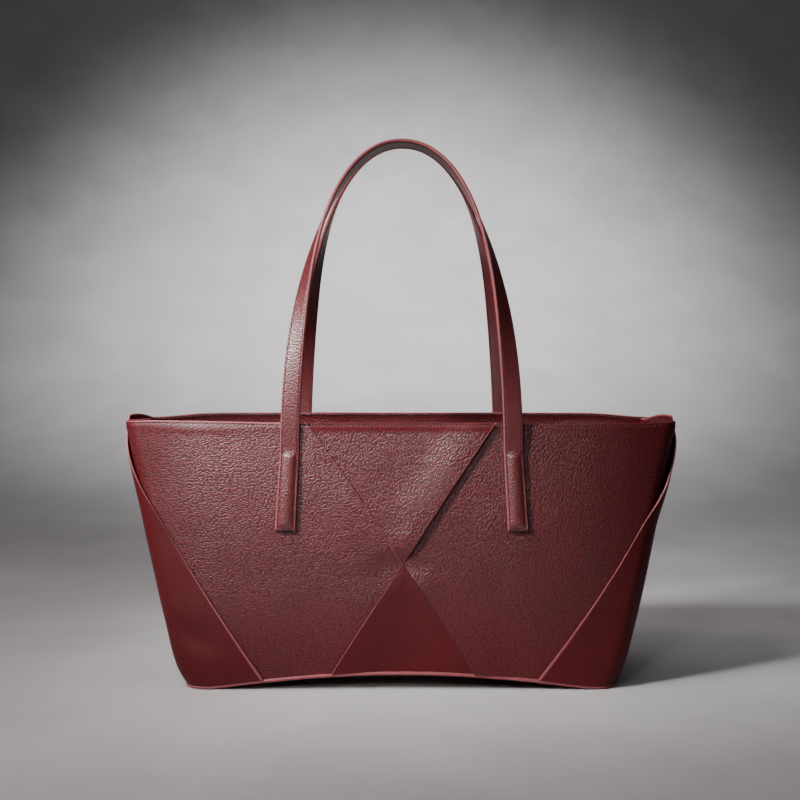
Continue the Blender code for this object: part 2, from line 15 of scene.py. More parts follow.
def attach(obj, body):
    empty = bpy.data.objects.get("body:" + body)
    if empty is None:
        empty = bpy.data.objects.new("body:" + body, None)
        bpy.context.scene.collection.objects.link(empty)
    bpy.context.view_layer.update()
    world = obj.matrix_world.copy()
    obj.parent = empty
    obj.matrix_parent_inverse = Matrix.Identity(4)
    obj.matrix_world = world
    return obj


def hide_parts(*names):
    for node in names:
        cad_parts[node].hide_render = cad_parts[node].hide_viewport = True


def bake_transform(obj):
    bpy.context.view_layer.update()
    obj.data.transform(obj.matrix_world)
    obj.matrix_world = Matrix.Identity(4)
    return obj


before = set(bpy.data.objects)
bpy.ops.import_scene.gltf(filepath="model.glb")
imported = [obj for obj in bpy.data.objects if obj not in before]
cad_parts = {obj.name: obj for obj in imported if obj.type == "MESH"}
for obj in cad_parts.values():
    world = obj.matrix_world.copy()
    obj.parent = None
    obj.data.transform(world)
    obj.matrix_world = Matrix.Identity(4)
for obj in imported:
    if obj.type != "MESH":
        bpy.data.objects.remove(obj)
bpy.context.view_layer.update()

bl_info = {
    "name": "Pleated Tote Bag",
    "version": (1, 0, 0),
    "blender": (4, 5, 0),
    "location": "3D View > Sidebar > Tote",
    "description": "Builds a pleated leather tote bag with its stage",
    "category": "Add Mesh",
}

MM = 0.001
FRONT, REAR = 1, -1

# A pair called SPAN or END says where a change starts and over what length it happens

# The bag's section
SIDE_FLARE = 9 * MM
SIDE_FLARE_HEIGHT = 10 * MM
FACE_BELLY = 4 * MM
BASE_END_HALF_DEPTH = 61 * MM
MOUTH_END_HALF_DEPTH = 44 * MM
BASE_CORNER_RADIUS = 13 * MM
MOUTH_CORNER_RADIUS = 10 * MM
FACE_BOW_POWER = 4.2
END_TAPER_POWER = 1.5

# The rim
HEM_HEIGHT = 3 * MM  # the rim rolls inwards over this height
HEM_ROLL = 0.8 * MM
HEM_ROLL_SHARE = 0.96  # of a quarter circle
RIM_STITCH_DROP = 1.8 * MM
RIM_STITCH_MARGIN = 2 * MM
HEM_GROOVE = 0.5 * MM  # the rim stitches pull a groove
HEM_GROOVE_WIDTH = 0.8 * MM
HEM_BULGE = 0.65 * MM  # the folded edge swells below them, most near the left corner
HEM_BULGE_DROP = 6.5 * MM
HEM_BULGE_WIDTH = 3 * MM
HEM_BULGE_X = -160 * MM
HEM_BULGE_HALF_LENGTH = 34 * MM
HEM_BULGE_REST = 0.06  # share of the swelling that is left elsewhere
RIM_WAVE_HEIGHT = 70 * MM  # the rim isn't level, and the leather follows it down to here
REAR_DROOP, REAR_DROOP_SPAN = 3.2 * MM, (165 * MM, 60 * MM)
LEFT_RISE, LEFT_RISE_SPAN, LEFT_RISE_END = 1.1 * MM, (90 * MM, 90 * MM), (200 * MM, 30 * MM)
RIGHT_DROP, RIGHT_DROP_SPAN, RIGHT_DROP_END = 1.5 * MM, (70 * MM, 70 * MM), (195 * MM, 40 * MM)
RIGHT_DROP_ENDS_BY = 0.6

# Folded gussets
PLEAT_DEPTH = 22 * MM
PLEAT_START_HEIGHT = 60 * MM
PLEAT_POWER = 1.3
PLEAT_MARGIN = 5 * MM
FLAP_FOOT_REACH = 105 * MM
FLAP_RIM_REACH = 237.7 * MM
FLAP_BOW_LEFT = 4 * MM
FLAP_BOW_RIGHT = 9 * MM
FLAP_TUCK = 15 * MM
FLAP_GAP = 0.5 * MM
FLAP_LIFT_LEFT = 1.6 * MM  # the flap's edge stands off below the corner
FLAP_LIFT_RIGHT = 3.2 * MM
FLAP_LIFT_WIDTH = 26 * MM
FLAP_LIFT_SPAN = (120 * MM, 50 * MM)
FLAP_LIFT_END = (196 * MM, 18 * MM)
FRONT_LOOP = 4.8 * MM  # the gusset's top edge stands up behind the corners
REAR_LOOP = 1.5 * MM
LOOP_HEIGHT = 28 * MM
LOOP_PHASES = (0.3, 1.3)  # half waves, at the flap's edge and at the middle of the side
GUSSET_COLUMNS = (22, 16, 26)  # on the flap, round the corner and along the side
CORNER_START_LIMITS = (0.12, 0.75)
CORNER_END_LIMITS = (0.25, 0.75)

# Arched base
BASE_ARCH = 12 * MM
ARCH_HALF_SPAN = 154 * MM
ARCH_POWER = 1.1
BASE_LEATHER = 1.6 * MM
BASE_BOARD = 2 * MM
GAP = 0.3 * MM
FOOT_OVERLAP = 0.9 * MM  # the leather reaches down behind the welt
WELT_STANDOFF = 0.2 * MM
WELT_STEPS, WELT_STEP = 60, 3 * MM  # steps along each half of a quarter, and one step's grain
WELT_SWELL, WELT_SWELL_TURN = 0.05, 0.9  # share of the radius, and radians from step to step

# Crossed seams of a face
CROSSING_X = 2 * MM
CROSSING_HEIGHT = 102 * MM
RIM_LEFT_X = -75.5 * MM
RIM_RIGHT_X = 76.5 * MM
FOOT_LEFT_X = -56.5 * MM
FOOT_RIGHT_X = 60 * MM
RIM_LEFT_BOW = 2 * MM  # how far the seams bow to the right
RIM_RIGHT_BOW = -1.2 * MM
FOOT_LEFT_BOW = -0.8 * MM
FOOT_RIGHT_BOW = 1.6 * MM
FOOT_MARK_HEIGHT = 11.8 * MM
TUCK = 7 * MM
TUCK_SPAN = (22 * MM, 28 * MM)
SEAM_SLIT = 0.15 * MM
TIP_HEIGHT = 0.5 * MM
LEVEL_SPAN = (1 * MM, 25 * MM)  # away from the crossing the upper leather lies on the lower one
LEVEL_NEAREST = 6 * MM
SHELF, SHELF_SHARE = 8 * MM, 1 / 3  # it stays level for this width along the seam
SHELF_RAMP, RAMP_SHARE = 28 * MM, 0.56
EDGE_RISE = 16 * MM  # away from the crossing the upper edges stand off
LAP_EDGE = (0.7 * MM, 12 * MM)  # how far, and over what width
LOOSE_EDGE = (2 * MM, 60 * MM)  # the same for the loose edge of an upper gore
PANEL_CROWDING, GORE_CROWDING = 1.25, 1.2  # the grid's columns lie closer together near a seam

# Inside
LINING = 0.8 * MM
FACING = 0.8 * MM
FACING_HEIGHT = 24 * MM
FACING_STANDOFF = 0.08 * MM
LINING_LAP = 8 * MM
LINING_FOOT = 5.9 * MM
LINING_INSET = 2.6 * MM
LINING_SLACK, SLACK_SCALE = 0.5 * MM, (30, 22)
SIDE_LINING_INSET = 3.8 * MM
SIDE_LINING_DROP = 11 * MM  # below the rim the gusset shows its own leather
PATCH = 0.8 * MM
PATCH_STANDOFF = 0.2 * MM
PATCH_MARGIN = 7 * MM
FOLD_EXTRA = 16 * MM  # a side lining is cut this much wider at the top, where it folds inwards

# Handles
TAB_DROP = 25 * MM
TAB_FOOT_X = 93.2 * MM
HINGE_X = 89.6 * MM
TAB_FOOT_WIDTH = 16.6 * MM
TAB_PROBE = 3 * MM  # a tab's slope is measured this far to either side
STRAP_LAYER = 1.4 * MM
HANDLE_LEG_PULL = 171 * MM
HANDLE_LEG_X = 87.4 * MM
FRONT_SHOULDER_X = 49 * MM
REAR_SHOULDER_X = 54 * MM  # the rear handle stays hidden behind the front one
HANDLE_APEX_Y = 9.4 * MM
HANDLE_STANDOFF = 4 * MM
FRONT_HANDLE_SHIFT = 1 * MM  # the handles are sewn a little off the middle
REAR_HANDLE_SHIFT = -1.6 * MM
TWIST_SPAN = (9 * MM, 246 * MM)
TWIST_TURN = math.radians(102)  # a little past a quarter turn, so the inner side shows
PAD_RISE = 1.7 * MM
PAD_FOOT_SPAN = (3.4 * MM, 2.4 * MM)
PAD_TOP_END = (-1.6 * MM, 3.6 * MM)
PAD_EDGE_SPAN = (2.4 * MM, 5.4 * MM)
PAD_POWER = 0.7
STRAP_END_ROUND = 0.9 * MM
STRAP_PAINT_WIDTH = 0.85 * MM

# Across a strap: distance from its edge in thicknesses, and height in halves of the thickness
STRAP_EDGE_SHARES = ((0.0, 0.0), (0.03, 0.42), (0.12, 0.78), (0.27, 0.97), (0.42, 1.0))
STRAP_INNER_COLUMNS = (1.3, 1.8, 2.3, 3.2, 4.2, 5.2, 6.4)  # millimetres from the edge

# Stitches
STITCH_INSET = 1.8 * MM
STITCH_GROOVE = 0.3 * MM
STITCH_SINK = 0.22 * MM
TOP_ROW_GAP = 1.9 * MM  # from the tab to the row that closes its pad
THREAD_SHARES = (0.33, 0.46, 0.42)  # half length in pitches, half width and height in gauges
# The same for the nearly black blob that paints the shade at each needle hole
HOLE_SHARES = (0.34, 1.15, 0.28)

# Soft hollows and swellings: place, half sizes, turn in degrees and how far each stands out
FRONT_SOFT_SPOTS = (
    (-16 * MM, 95 * MM, 20 * MM, 9 * MM, 18, -1.1 * MM),
    (-166 * MM, 42 * MM, 17 * MM, 8 * MM, -35, -2 * MM),
    (-152 * MM, 26 * MM, 22 * MM, 10 * MM, -20, 1.2 * MM),
    (-95 * MM, 150 * MM, 60 * MM, 50 * MM, 0, 1.2 * MM),
    (120 * MM, 120 * MM, 55 * MM, 60 * MM, 0, 2.4 * MM),
)
REAR_SOFT_SPOTS = (
    (-18 * MM, 92 * MM, 15 * MM, 8 * MM, 15, -2.4 * MM),
    (150 * MM, 40 * MM, 20 * MM, 12 * MM, 30, -2.6 * MM),
    (-90 * MM, 140 * MM, 60 * MM, 50 * MM, 0, 1.2 * MM),
)
SPOT_REACH = 12  # squared half sizes, beyond which a spot is left out
SPOT_SPREAD = 1.4
BROAD_WAVE, BROAD_WAVE_SCALE = 0.8 * MM, 14
FINE_WAVE, FINE_WAVE_SCALE = 0.35 * MM, 38
WAVE_FOOT, WAVE_SIDE = 25 * MM, 30 * MM  # the waves fade towards the foot and the side

# Leather: pebble is the size of a grain cell, depth its relief, crease_shading how far painted
# shade darkens its creases, hem_relief the share of the relief at the rim, sheen the gloss of flat
# and of pebbled leather
PANEL_GRAIN = {
    "pebble": (2.2 * MM, 1.45 * MM), "depth": 0.2 * MM, "roughness": 0.46,
    "hem_relief": 0.75, "sheen": (0.25, 0.76),
}
GORE_GRAIN = {**PANEL_GRAIN, "hem_relief": 0.1}
# Painted shade: shade 0.72 darkens this copy of the face leather for the gussets, the lower gores
# and the base
FLAP_GRAIN = {
    "pebble": (2.6 * MM, 1.8 * MM), "depth": 0.1 * MM, "roughness": 0.5,
    "shade": 0.72, "crease_shading": 0.3, "sheen": (0.15, 0.45),
}
STRAP_GRAIN = {
    "pebble": (2.1 * MM, 1.5 * MM), "depth": 0.11 * MM, "roughness": 0.42,
    "crease_shading": 0.6, "sheen": (0.3, 1.1),
}
GRAIN_CLIMB, GRAIN_CLIMB_X = 1.32, -150 * MM  # per metre, and where the climb starts
STEEP_GRAIN_TURN = (0.92, 0.4)  # cosine and sine
FLAP_GRAIN_TURN = (0.8, 0.6)
GRAIN_WANDER, WANDER_SCALE = 2.4 * MM, 160
PEBBLE_SLOPE = (0.1, 0.62)  # from a pebble's top to its crease, in cells
RIPPLE_SCALE, RIPPLE_SHARE = 0.55, 0.45  # ripples and pores add to the relief of the pebbles
PORE_SCALE, PORE_SHARE = 1700, 0.18
LOW_RELIEF = (10 * MM, 100 * MM, 0.5, 1)  # heights, and the share of the relief at each
END_RELIEF = (150 * MM, 220 * MM, 1, 0.45)  # the same for distances from the middle
HEM_SPAN = (206 * MM, 212 * MM)
CLOUD_SCALE, CLOUD_RANGE, CLOUD_TONES = 14, (0.3, 0.7), (0.88, 1.1)
FIRMEST = 0.3  # the lowest share of the relief
ROUGHER = 0.1  # leather that is pulled flat is this much rougher
TWILL_RIB = 0.9 * MM
EDGE_ROUND = 0.4  # of a sheet's thickness

# Stage
CAMERA_X = -0.3 * MM
SENSOR_WIDTH = 36  # millimetres
PAPER_HALF_WIDTH = 4
PAPER_START = 0.5  # the sweep starts here behind the bag
PAPER_RADIUS = 1.6
PAPER_ROWS = 40
WHITE_LIGHT = "#ffffff"
ROSE_LIGHT = "#fff6f8"  # the paper looks faintly pink in front of the bag
WALL_LIGHT_PLACE, WALL_LIGHT_TARGET = (0, 0.3, 1.9), (-0.01, 1.5, 0.35)
WALL_LIGHT_ANGLE = math.radians(53)
WALL_LIGHT_SIZE = 0.3
ROOM_LIGHT, ROOM_STRENGTH = "#9a9896", 0.09


def linear(hex_colour):
    """An sRGB hex value as the linear colour that a shader takes."""
    values = [int(hex_colour[i : i + 2], 16) / 255 for i in (1, 3, 5)]
    return tuple(v / 12.92 if v <= 0.04045 else ((v + 0.055) / 1.055) ** 2.4 for v in values)


def length(name, description, millimetres):
    return FloatProperty(
        name=name, description=description, default=millimetres * MM, unit="LENGTH", precision=4
    )


def power(name, description, watts):
    return FloatProperty(name=name, description=f"Power of the {description}", default=watts)


def colour(name, description, hex_colour):
    start = linear(hex_colour)
    return FloatVectorProperty(
        name=name, description=description, default=start, subtype="COLOR", size=3, min=0, max=1
    )


class ToteSizes(bpy.types.PropertyGroup):
    """Sizes of the bag that a user may change."""

    rim_height: length("Rim height", "From the base to the rim", 216)
    base_half_length: length("Base half length", "From the middle to the end of the base", 169.2)
    mouth_half_width: length("Mouth half width", "From the middle to the end of the mouth", 225.3)
    base_half_depth: length("Base half depth", "From the middle to the front of the base", 63)
    mouth_half_depth: length("Mouth half depth", "From the middle to the mouth's front", 57.5)
    leather: length("Leather", "Thickness of the face leather", 1.4)
    welt_radius: length("Welt radius", "Radius of the roll along the foot", 1.5)
    strap_width: length("Strap width", "Width of the handles", 15.6)
    strap_thickness: length("Strap thickness", "Thickness of the handles", 3)
    handle_rise: length("Handle rise", "From the rim to the middle of the strap's top", 229.6)
    tab_length: length("Tab length", "Length of a handle's sewn end", 61.5)
    stitch_pitch: length("Stitch pitch", "From one stitch to the next", 2.5)
    stitch_gauge: length("Stitch gauge", "Thickness of the thread", 0.75)


class ToteColours(bpy.types.PropertyGroup):
    """Colours of the bag."""

    leather: colour("Leather", "Pebbled face leather", "#601319")
    # Painted shade: a darker tone that fills the pebbles' creases, partly the grain's own tone; it
    # also paints the dark seam strips and, nearly black, the needle holes
    crease_shade: colour("Crease", "The same in its creases", "#3f0b10")
    # Lighter than the leather: partly the edge paint's own colour, partly a painted highlight along
    # the rounded edges
    edge: colour("Edge paint", "Painted cut edges", "#8a464a")
    thread: colour("Thread", "Waxed thread", "#6e3436")
    lining: colour("Lining", "Twill inside", "#3d1a1e")
    board: colour("Board", "Stiffener in the base", "#8a857d")


class ToteStage(bpy.types.PropertyGroup):
    """Camera, floor and lights."""

    lens: FloatProperty(name="Lens", description="Focal length in millimetres", default=54.86)
    camera_distance: length("Camera distance", "From the middle of the bag", 1035)
    camera_height: length("Camera height", "Above the floor", 292)
    camera_tilt: FloatProperty(
        name="Camera tilt", description="Downward", default=math.radians(3.38), subtype="ANGLE"
    )
    paper: colour("Paper", "Seamless paper below and behind the bag", "#b3afb0")
    key_power: power("Key light", "soft beam from the left", 1.2)
    sheen_power: power("Sheen light", "broad beam in front", 0.36)
    floor_power: power("Floor light", "pool in front of the bag", 2.3)
    top_power: power("Top light", "light overhead", 8.5)
    wall_power: power("Wall light", "pool of light behind", 345)


def mix(a, b, share):
    return a + (b - a) * share


def clamp(value, low=0.0, high=1.0):
    return max(low, min(high, value))


def smooth(share):
    share = clamp(share)
    return share * share * (3 - 2 * share)


def fade_in(value, start, width):
    """Goes smoothly from 0 to 1 while the value goes on from start by the width."""
    return smooth((value - start) / width)


def bell(value, width):
    return math.exp(-((value / width) ** 2))


def even_ends(share, pull=0.65):
    """Spreads the rows of a grid so that they lie closer together at both ends."""
    return share - pull / (2 * math.pi) * math.sin(2 * math.pi * share)


class Form:
    """The soft outer form of the bag, with the sections that its solids have."""

    def __init__(self, size, side):
        self.size, self.side = size, side
        self.rim = size.rim_height
        self.leather = size.leather
        self.welt_space = 2 * (size.welt_radius + GAP)
        self.crossing = Crossing(self.rim)
        self.spots = FRONT_SOFT_SPOTS if side == FRONT else REAR_SOFT_SPOTS
        self.handle_shift = FRONT_HANDLE_SHIFT if side == FRONT else REAR_HANDLE_SHIFT

    def base_lift(self, x):
        return BASE_ARCH * max(0.0, 1 - (x / ARCH_HALF_SPAN) ** 2) ** ARCH_POWER

    def foot(self, x):
        return self.base_lift(x) + self.welt_space - FOOT_OVERLAP

    def half_width(self, z):
        base = self.size.base_half_length + SIDE_FLARE
        straight = mix(base, self.size.mouth_half_width, z / self.rim)
        return straight - SIDE_FLARE * math.exp(-z / SIDE_FLARE_HEIGHT)

    def end_half_depth(self, z):
        share = clamp(z / self.rim) ** END_TAPER_POWER
        return mix(BASE_END_HALF_DEPTH, MOUTH_END_HALF_DEPTH, share)

    def face_bow(self, z):
        share = z / self.rim
        middle = mix(self.size.base_half_depth, self.size.mouth_half_depth, share)
        return middle + FACE_BELLY * math.sin(math.pi * clamp(share)) - self.end_half_depth(z)

    def corner_radius(self, z):
        return mix(BASE_CORNER_RADIUS, MOUTH_CORNER_RADIUS, z / self.rim)

    def pleat_depth(self, z):
        share = clamp((z - PLEAT_START_HEIGHT) / (self.rim - PLEAT_START_HEIGHT))
        return PLEAT_DEPTH * share**PLEAT_POWER

    def flat_reach(self, z):
        return self.half_width(z) - self.corner_radius(z)

    def side_reach(self, z):
        radius = self.corner_radius(z)
        return self.flat_reach(z) + radius * math.pi / 2 + self.end_half_depth(z) - radius

    def section_point(self, reach, z):
        radius = self.corner_radius(z)
        depth = self.end_half_depth(z)
        width = self.half_width(z)
        corner_x, corner_y = width - radius, depth - radius
        angle = (reach - corner_x) / radius
        if angle <= 0:
            x, y = reach, -depth
        elif angle <= math.pi / 2:
            x = corner_x + radius * math.sin(angle)
            y = -corner_y - radius * math.cos(angle)
        else:
            y = -corner_y + radius * (angle - math.pi / 2)
            fold = 0.5 + 0.5 * math.cos(math.pi * clamp(y / corner_y, -1, 1))
            return Vector((corner_x + radius - self.pleat_depth(z) * fold, y, z))
        return Vector((x, y - self.face_bow(z) * (1 - (x / width) ** FACE_BOW_POWER), z))

    def point(self, reach, z):
        at = self.section_point(abs(reach), z)
        return at if reach >= 0 else Vector((-at.x, at.y, at.z))

    def normal(self, reach, z):
        along = self.point(reach + GAP, z) - self.point(reach - GAP, z)
        return Vector((along.y, -along.x, 0)).normalized()

    def softness(self, reach, z):
        """How far the leather stands out of, or sinks below, its even form."""
        out = 0.0
        for x, height, half_x, half_z, turn, depth in self.spots:
            dx, dz = reach - x, z - height
            c, s = math.cos(math.radians(turn)), math.sin(math.radians(turn))
            u, v = (dx * c + dz * s) / half_x, (dz * c - dx * s) / half_z
            if u * u + v * v < SPOT_REACH:
                out += depth * math.exp(-(u * u + v * v) / SPOT_SPREAD)
        fade = smooth(z / WAVE_FOOT) * smooth((self.side_reach(z) - abs(reach)) / WAVE_SIDE)
        at = Vector((reach * self.side, 0.3 * self.side, z))
        wave = BROAD_WAVE * noise.noise(at * BROAD_WAVE_SCALE)
        wave += FINE_WAVE * noise.noise(at * FINE_WAVE_SCALE)
        hem = clamp((z - self.rim + HEM_HEIGHT) / HEM_HEIGHT)
        below = self.rim - z
        bulge = mix(HEM_BULGE_REST, 1, bell(reach - HEM_BULGE_X, HEM_BULGE_HALF_LENGTH))
        out += HEM_BULGE * bulge * bell(below - HEM_BULGE_DROP, HEM_BULGE_WIDTH)
        out -= HEM_GROOVE * bell(below - RIM_STITCH_DROP, HEM_GROOVE_WIDTH)
        return out + wave * fade - HEM_ROLL * (1 - math.sqrt(1 - HEM_ROLL_SHARE * hem * hem))

    def rim_wave(self, reach, z):
        """The rim isn't quite level: its ends rise or hang a little."""
        near_rim = fade_in(z - self.rim, -RIM_WAVE_HEIGHT, RIM_WAVE_HEIGHT)
        if self.side == REAR:
            return -REAR_DROOP * near_rim * fade_in(abs(reach), *REAR_DROOP_SPAN)
        left = fade_in(-reach, *LEFT_RISE_SPAN) * (1 - fade_in(-reach, *LEFT_RISE_END))
        ending = 1 - RIGHT_DROP_ENDS_BY * fade_in(reach, *RIGHT_DROP_END)
        right = fade_in(reach, *RIGHT_DROP_SPAN) * ending
        return near_rim * (LEFT_RISE * left - RIGHT_DROP * right)

    def on(self, reach, z, out):
        at = self.point(reach, z) + self.normal(reach, z) * (out + self.softness(reach, z))
        at.z += self.rim_wave(reach, z)
        return at

    def turned(self, at):
        return at if self.side == FRONT else Vector((-at.x, -at.y, at.z))

    def placed(self, reach, z, out):
        """A point in the bag's own frame, with its way round and its height for the grain."""
        return self.turned(self.on(reach, z, out)), reach, z

    def flap_reach(self, z, right):
        share = z / self.rim
        bow = FLAP_BOW_RIGHT if right else FLAP_BOW_LEFT
        return mix(FLAP_FOOT_REACH, FLAP_RIM_REACH, share) + bow * math.sin(math.pi * clamp(share))


def both_forms(context):
    sizes = context.scene.tote_sizes
    return {"front": Form(sizes, FRONT), "rear": Form(sizes, REAR)}


def settle(z, reach_at, height_at):
    """Where a column crosses a row: its way round depends on the height, and its height on that."""
    for _ in range(3):
        reach = reach_at(z)
        z = height_at(reach)
    return reach, z


# The crossed seams


class Seam:
    """One arm of the crossed seams: from the crossing to the rim or to the foot, slightly bowed."""

    def __init__(self, x, height, bow):
        self.run, self.rise, self.bow = x - CROSSING_X, height - CROSSING_HEIGHT, bow
        self.length = math.hypot(self.run, self.rise)
        self.tilt = self.length / abs(self.rise)

    def bowed(self, z):
        share = clamp((z - CROSSING_HEIGHT) / self.rise)
        return self.bow * math.sin(math.pi * share)

    def x(self, z):
        return CROSSING_X + self.run * (z - CROSSING_HEIGHT) / self.rise + self.bowed(z)

    def tucked_x(self, z, sign):
        """Where the lower one of the two panels ends under the upper one."""
        line = self.x(z)
        return line - sign * tuck_width(from_crossing(line, z)) * self.tilt

    def distance(self, x, z):
        dx, dz = x - CROSSING_X - self.bowed(z), z - CROSSING_HEIGHT
        if dx * self.run + dz * self.rise < 0:
            return math.hypot(dx, dz)
        return abs(dx * self.rise - dz * self.run) / self.length


class Crossing:
    """The four arms of a face."""

    def __init__(self, rim):
        self.rim_left = Seam(RIM_LEFT_X, rim, RIM_LEFT_BOW)
        self.rim_right = Seam(RIM_RIGHT_X, rim, RIM_RIGHT_BOW)
        self.foot_left = Seam(FOOT_LEFT_X, FOOT_MARK_HEIGHT, FOOT_LEFT_BOW)
        self.foot_right = Seam(FOOT_RIGHT_X, FOOT_MARK_HEIGHT, FOOT_RIGHT_BOW)


def from_crossing(x, z):
    return math.hypot(x - CROSSING_X, z - CROSSING_HEIGHT)


def tuck_width(distance):
    start, width = TUCK_SPAN
    return -SEAM_SLIT + (TUCK + SEAM_SLIT) * clamp((distance - start) / width)


def panel_out(form, reach, z, over, edge=LAP_EDGE):
    """Height of the middle of a panel's leather over the form. Near the seam where it is the upper
    one it lies on the other panel, and its edge stands off a little."""
    to_seam, distance = over.distance(reach, z), from_crossing(reach, z)
    near = max(distance, LEVEL_NEAREST)
    shelf, ramp = min(SHELF, near * SHELF_SHARE), min(SHELF_RAMP, near * RAMP_SHARE)
    level = (form.leather + GAP) * (1 - fade_in(to_seam, shelf, ramp))
    loose = edge[0] * smooth(distance / EDGE_RISE) * (1 - smooth(to_seam / edge[1]))
    return form.leather / 2 + (fade_in(distance, *LEVEL_SPAN) * level + loose)


# Making the pieces


def finish_piece(name, shape, finishes, body, nodes=()):
    """Makes the shape an object, rides it on the body where one is given, and hides the solids that
    it stands for.
    """
    mesh = bpy.data.meshes.new(name)
    shape.to_mesh(mesh)
    shape.free()
    for finish in finishes:
        mesh.materials.append(finish_named(finish))
    mesh.shade_smooth()
    piece = bpy.data.objects.new(name, mesh)
    bpy.context.scene.collection.objects.link(piece)
    if body:
        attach(piece, body)
    if nodes:
        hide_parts(*nodes)
    return piece


def sewn_sheet(name, node, shape, thickness, finishes):
    """A sheet of leather or cloth with its thickness and its painted, rounded edges."""
    piece = finish_piece(name, shape, finishes, "bag_body", (node,))
    solidify = piece.modifiers.new("Thickness", "SOLIDIFY")
    solidify.thickness = thickness
    solidify.offset = 0
    solidify.material_offset_rim = 1
    bevel = piece.modifiers.new("Edges", "BEVEL")
    bevel.width = thickness * EDGE_ROUND
    bevel.segments = 2
    bevel.limit_method = "ANGLE"
    bevel.angle_limit = math.radians(55)
    bevel.material = 1
    return piece


def cloth_sheet(name, node, shape, thickness):
    finishes = ("twill_lining", "twill_lining")
    return sewn_sheet(name, node, shape, thickness, finishes)


def grid_shape(columns, rows, place, grain):
    """A grid put in place point by point, with a UV map that carries the leather's grain."""
    shape = bmesh.new()
    uv = shape.loops.layers.uv.new("grain")
    column_of = shape.verts.layers.int.new("column")
    row_of = shape.verts.layers.int.new("row")
    bmesh.ops.create_grid(shape, x_segments=columns, y_segments=rows, size=1)
    flat = {}
    for vert in shape.verts:
        column = round((vert.co.x + 1) / 2 * columns)
        row = round((vert.co.y + 1) / 2 * rows)
        vert.co, reach, z = place(column, row)
        vert[column_of], vert[row_of] = column, row
        flat[vert] = grain(reach, z)
    for face in shape.faces:
        for loop in face.loops:
            loop[uv].uv = flat[loop.vert]
    return shape


def paint_edge(shape, way, number):
    """Paints the narrow strip of faces along one column or one row of a grid."""
    number_of = shape.verts.layers.int[way]
    for face in shape.faces:
        if any(vert[number_of] == number for vert in face.verts):
            face.material_index = 1


def straight_grain(reach, z):
    return (reach, z)


def level_grain(reach, z):
    """Grain that runs along the panel and climbs towards the middle."""
    return (reach, z - GRAIN_CLIMB * max(0.0, reach - GRAIN_CLIMB_X) ** 2)


def steep_grain(reach, z):
    """Grain that runs steeply, leaning to the right."""
    along, across = STEEP_GRAIN_TURN
    return (z * along + reach * across, reach * along - z * across)


def flap_grain(reach, z):
    """Grain that climbs along the flap."""
    along, across = FLAP_GRAIN_TURN
    return (reach * along - z * across, z * along + reach * across)


# Materials


def add_node(tree, kind, inputs=(), **settings):
    """Adds a node: settings are its own values, inputs its sockets' values or their sources."""
    node = tree.nodes.new(kind)
    for key, value in settings.items():
        setattr(node, key, value)
    for key, value in dict(inputs).items():
        if isinstance(value, bpy.types.NodeSocket):
            tree.links.new(value, node.inputs[key])
        else:
            node.inputs[key].default_value = value
    return node


def new_material(name):
    material = bpy.data.materials.new(name)
    material.use_nodes = True
    tree = material.node_tree
    tree.nodes.clear()
    output = add_node(tree, "ShaderNodeOutputMaterial")
    shader = add_node(tree, "ShaderNodeBsdfPrincipled")
    tree.links.new(shader.outputs[0], output.inputs[0])
    return material, tree, shader


def object_place(tree):
    return add_node(tree, "ShaderNodeTexCoord").outputs["Object"]


def fine_noise(tree, place, scale, detail, **settings):
    inputs = {"Vector": place, "Scale": scale, "Detail": detail}
    return add_node(tree, "ShaderNodeTexNoise", inputs, **settings)


def arithmetic(tree, operation, *values):
    inputs = dict(enumerate(values))
    return add_node(tree, "ShaderNodeMath", inputs, operation=operation).outputs[0]


def vector_arithmetic(tree, operation, *values):
    inputs = dict(enumerate(values))
    return add_node(tree, "ShaderNodeVectorMath", inputs, operation=operation).outputs[0]


def ramp(tree, value, start, end, low, high, kind="SMOOTHSTEP"):
    """Low where the value is start, high where it is end."""
    inputs = {"Value": value, "From Min": start, "From Max": end, "To Min": low, "To Max": high}
    return add_node(tree, "ShaderNodeMapRange", inputs, interpolation_type=kind).outputs[0]


def tint(tree, shader, colour_or_socket, tone):
    """Gives the shader a colour that the tone makes lighter or darker."""
    inputs = {0: colour_or_socket, "Scale": tone}
    scaled = add_node(tree, "ShaderNodeVectorMath", inputs, operation="SCALE")
    tree.links.new(scaled.outputs[0], shader.inputs["Base Color"])


def emboss(tree, shader, height, depth, strength):
    inputs = {"Strength": strength, "Distance": depth, "Height": height}
    bump = add_node(tree, "ShaderNodeBump", inputs)
    tree.links.new(bump.outputs[0], shader.inputs["Normal"])


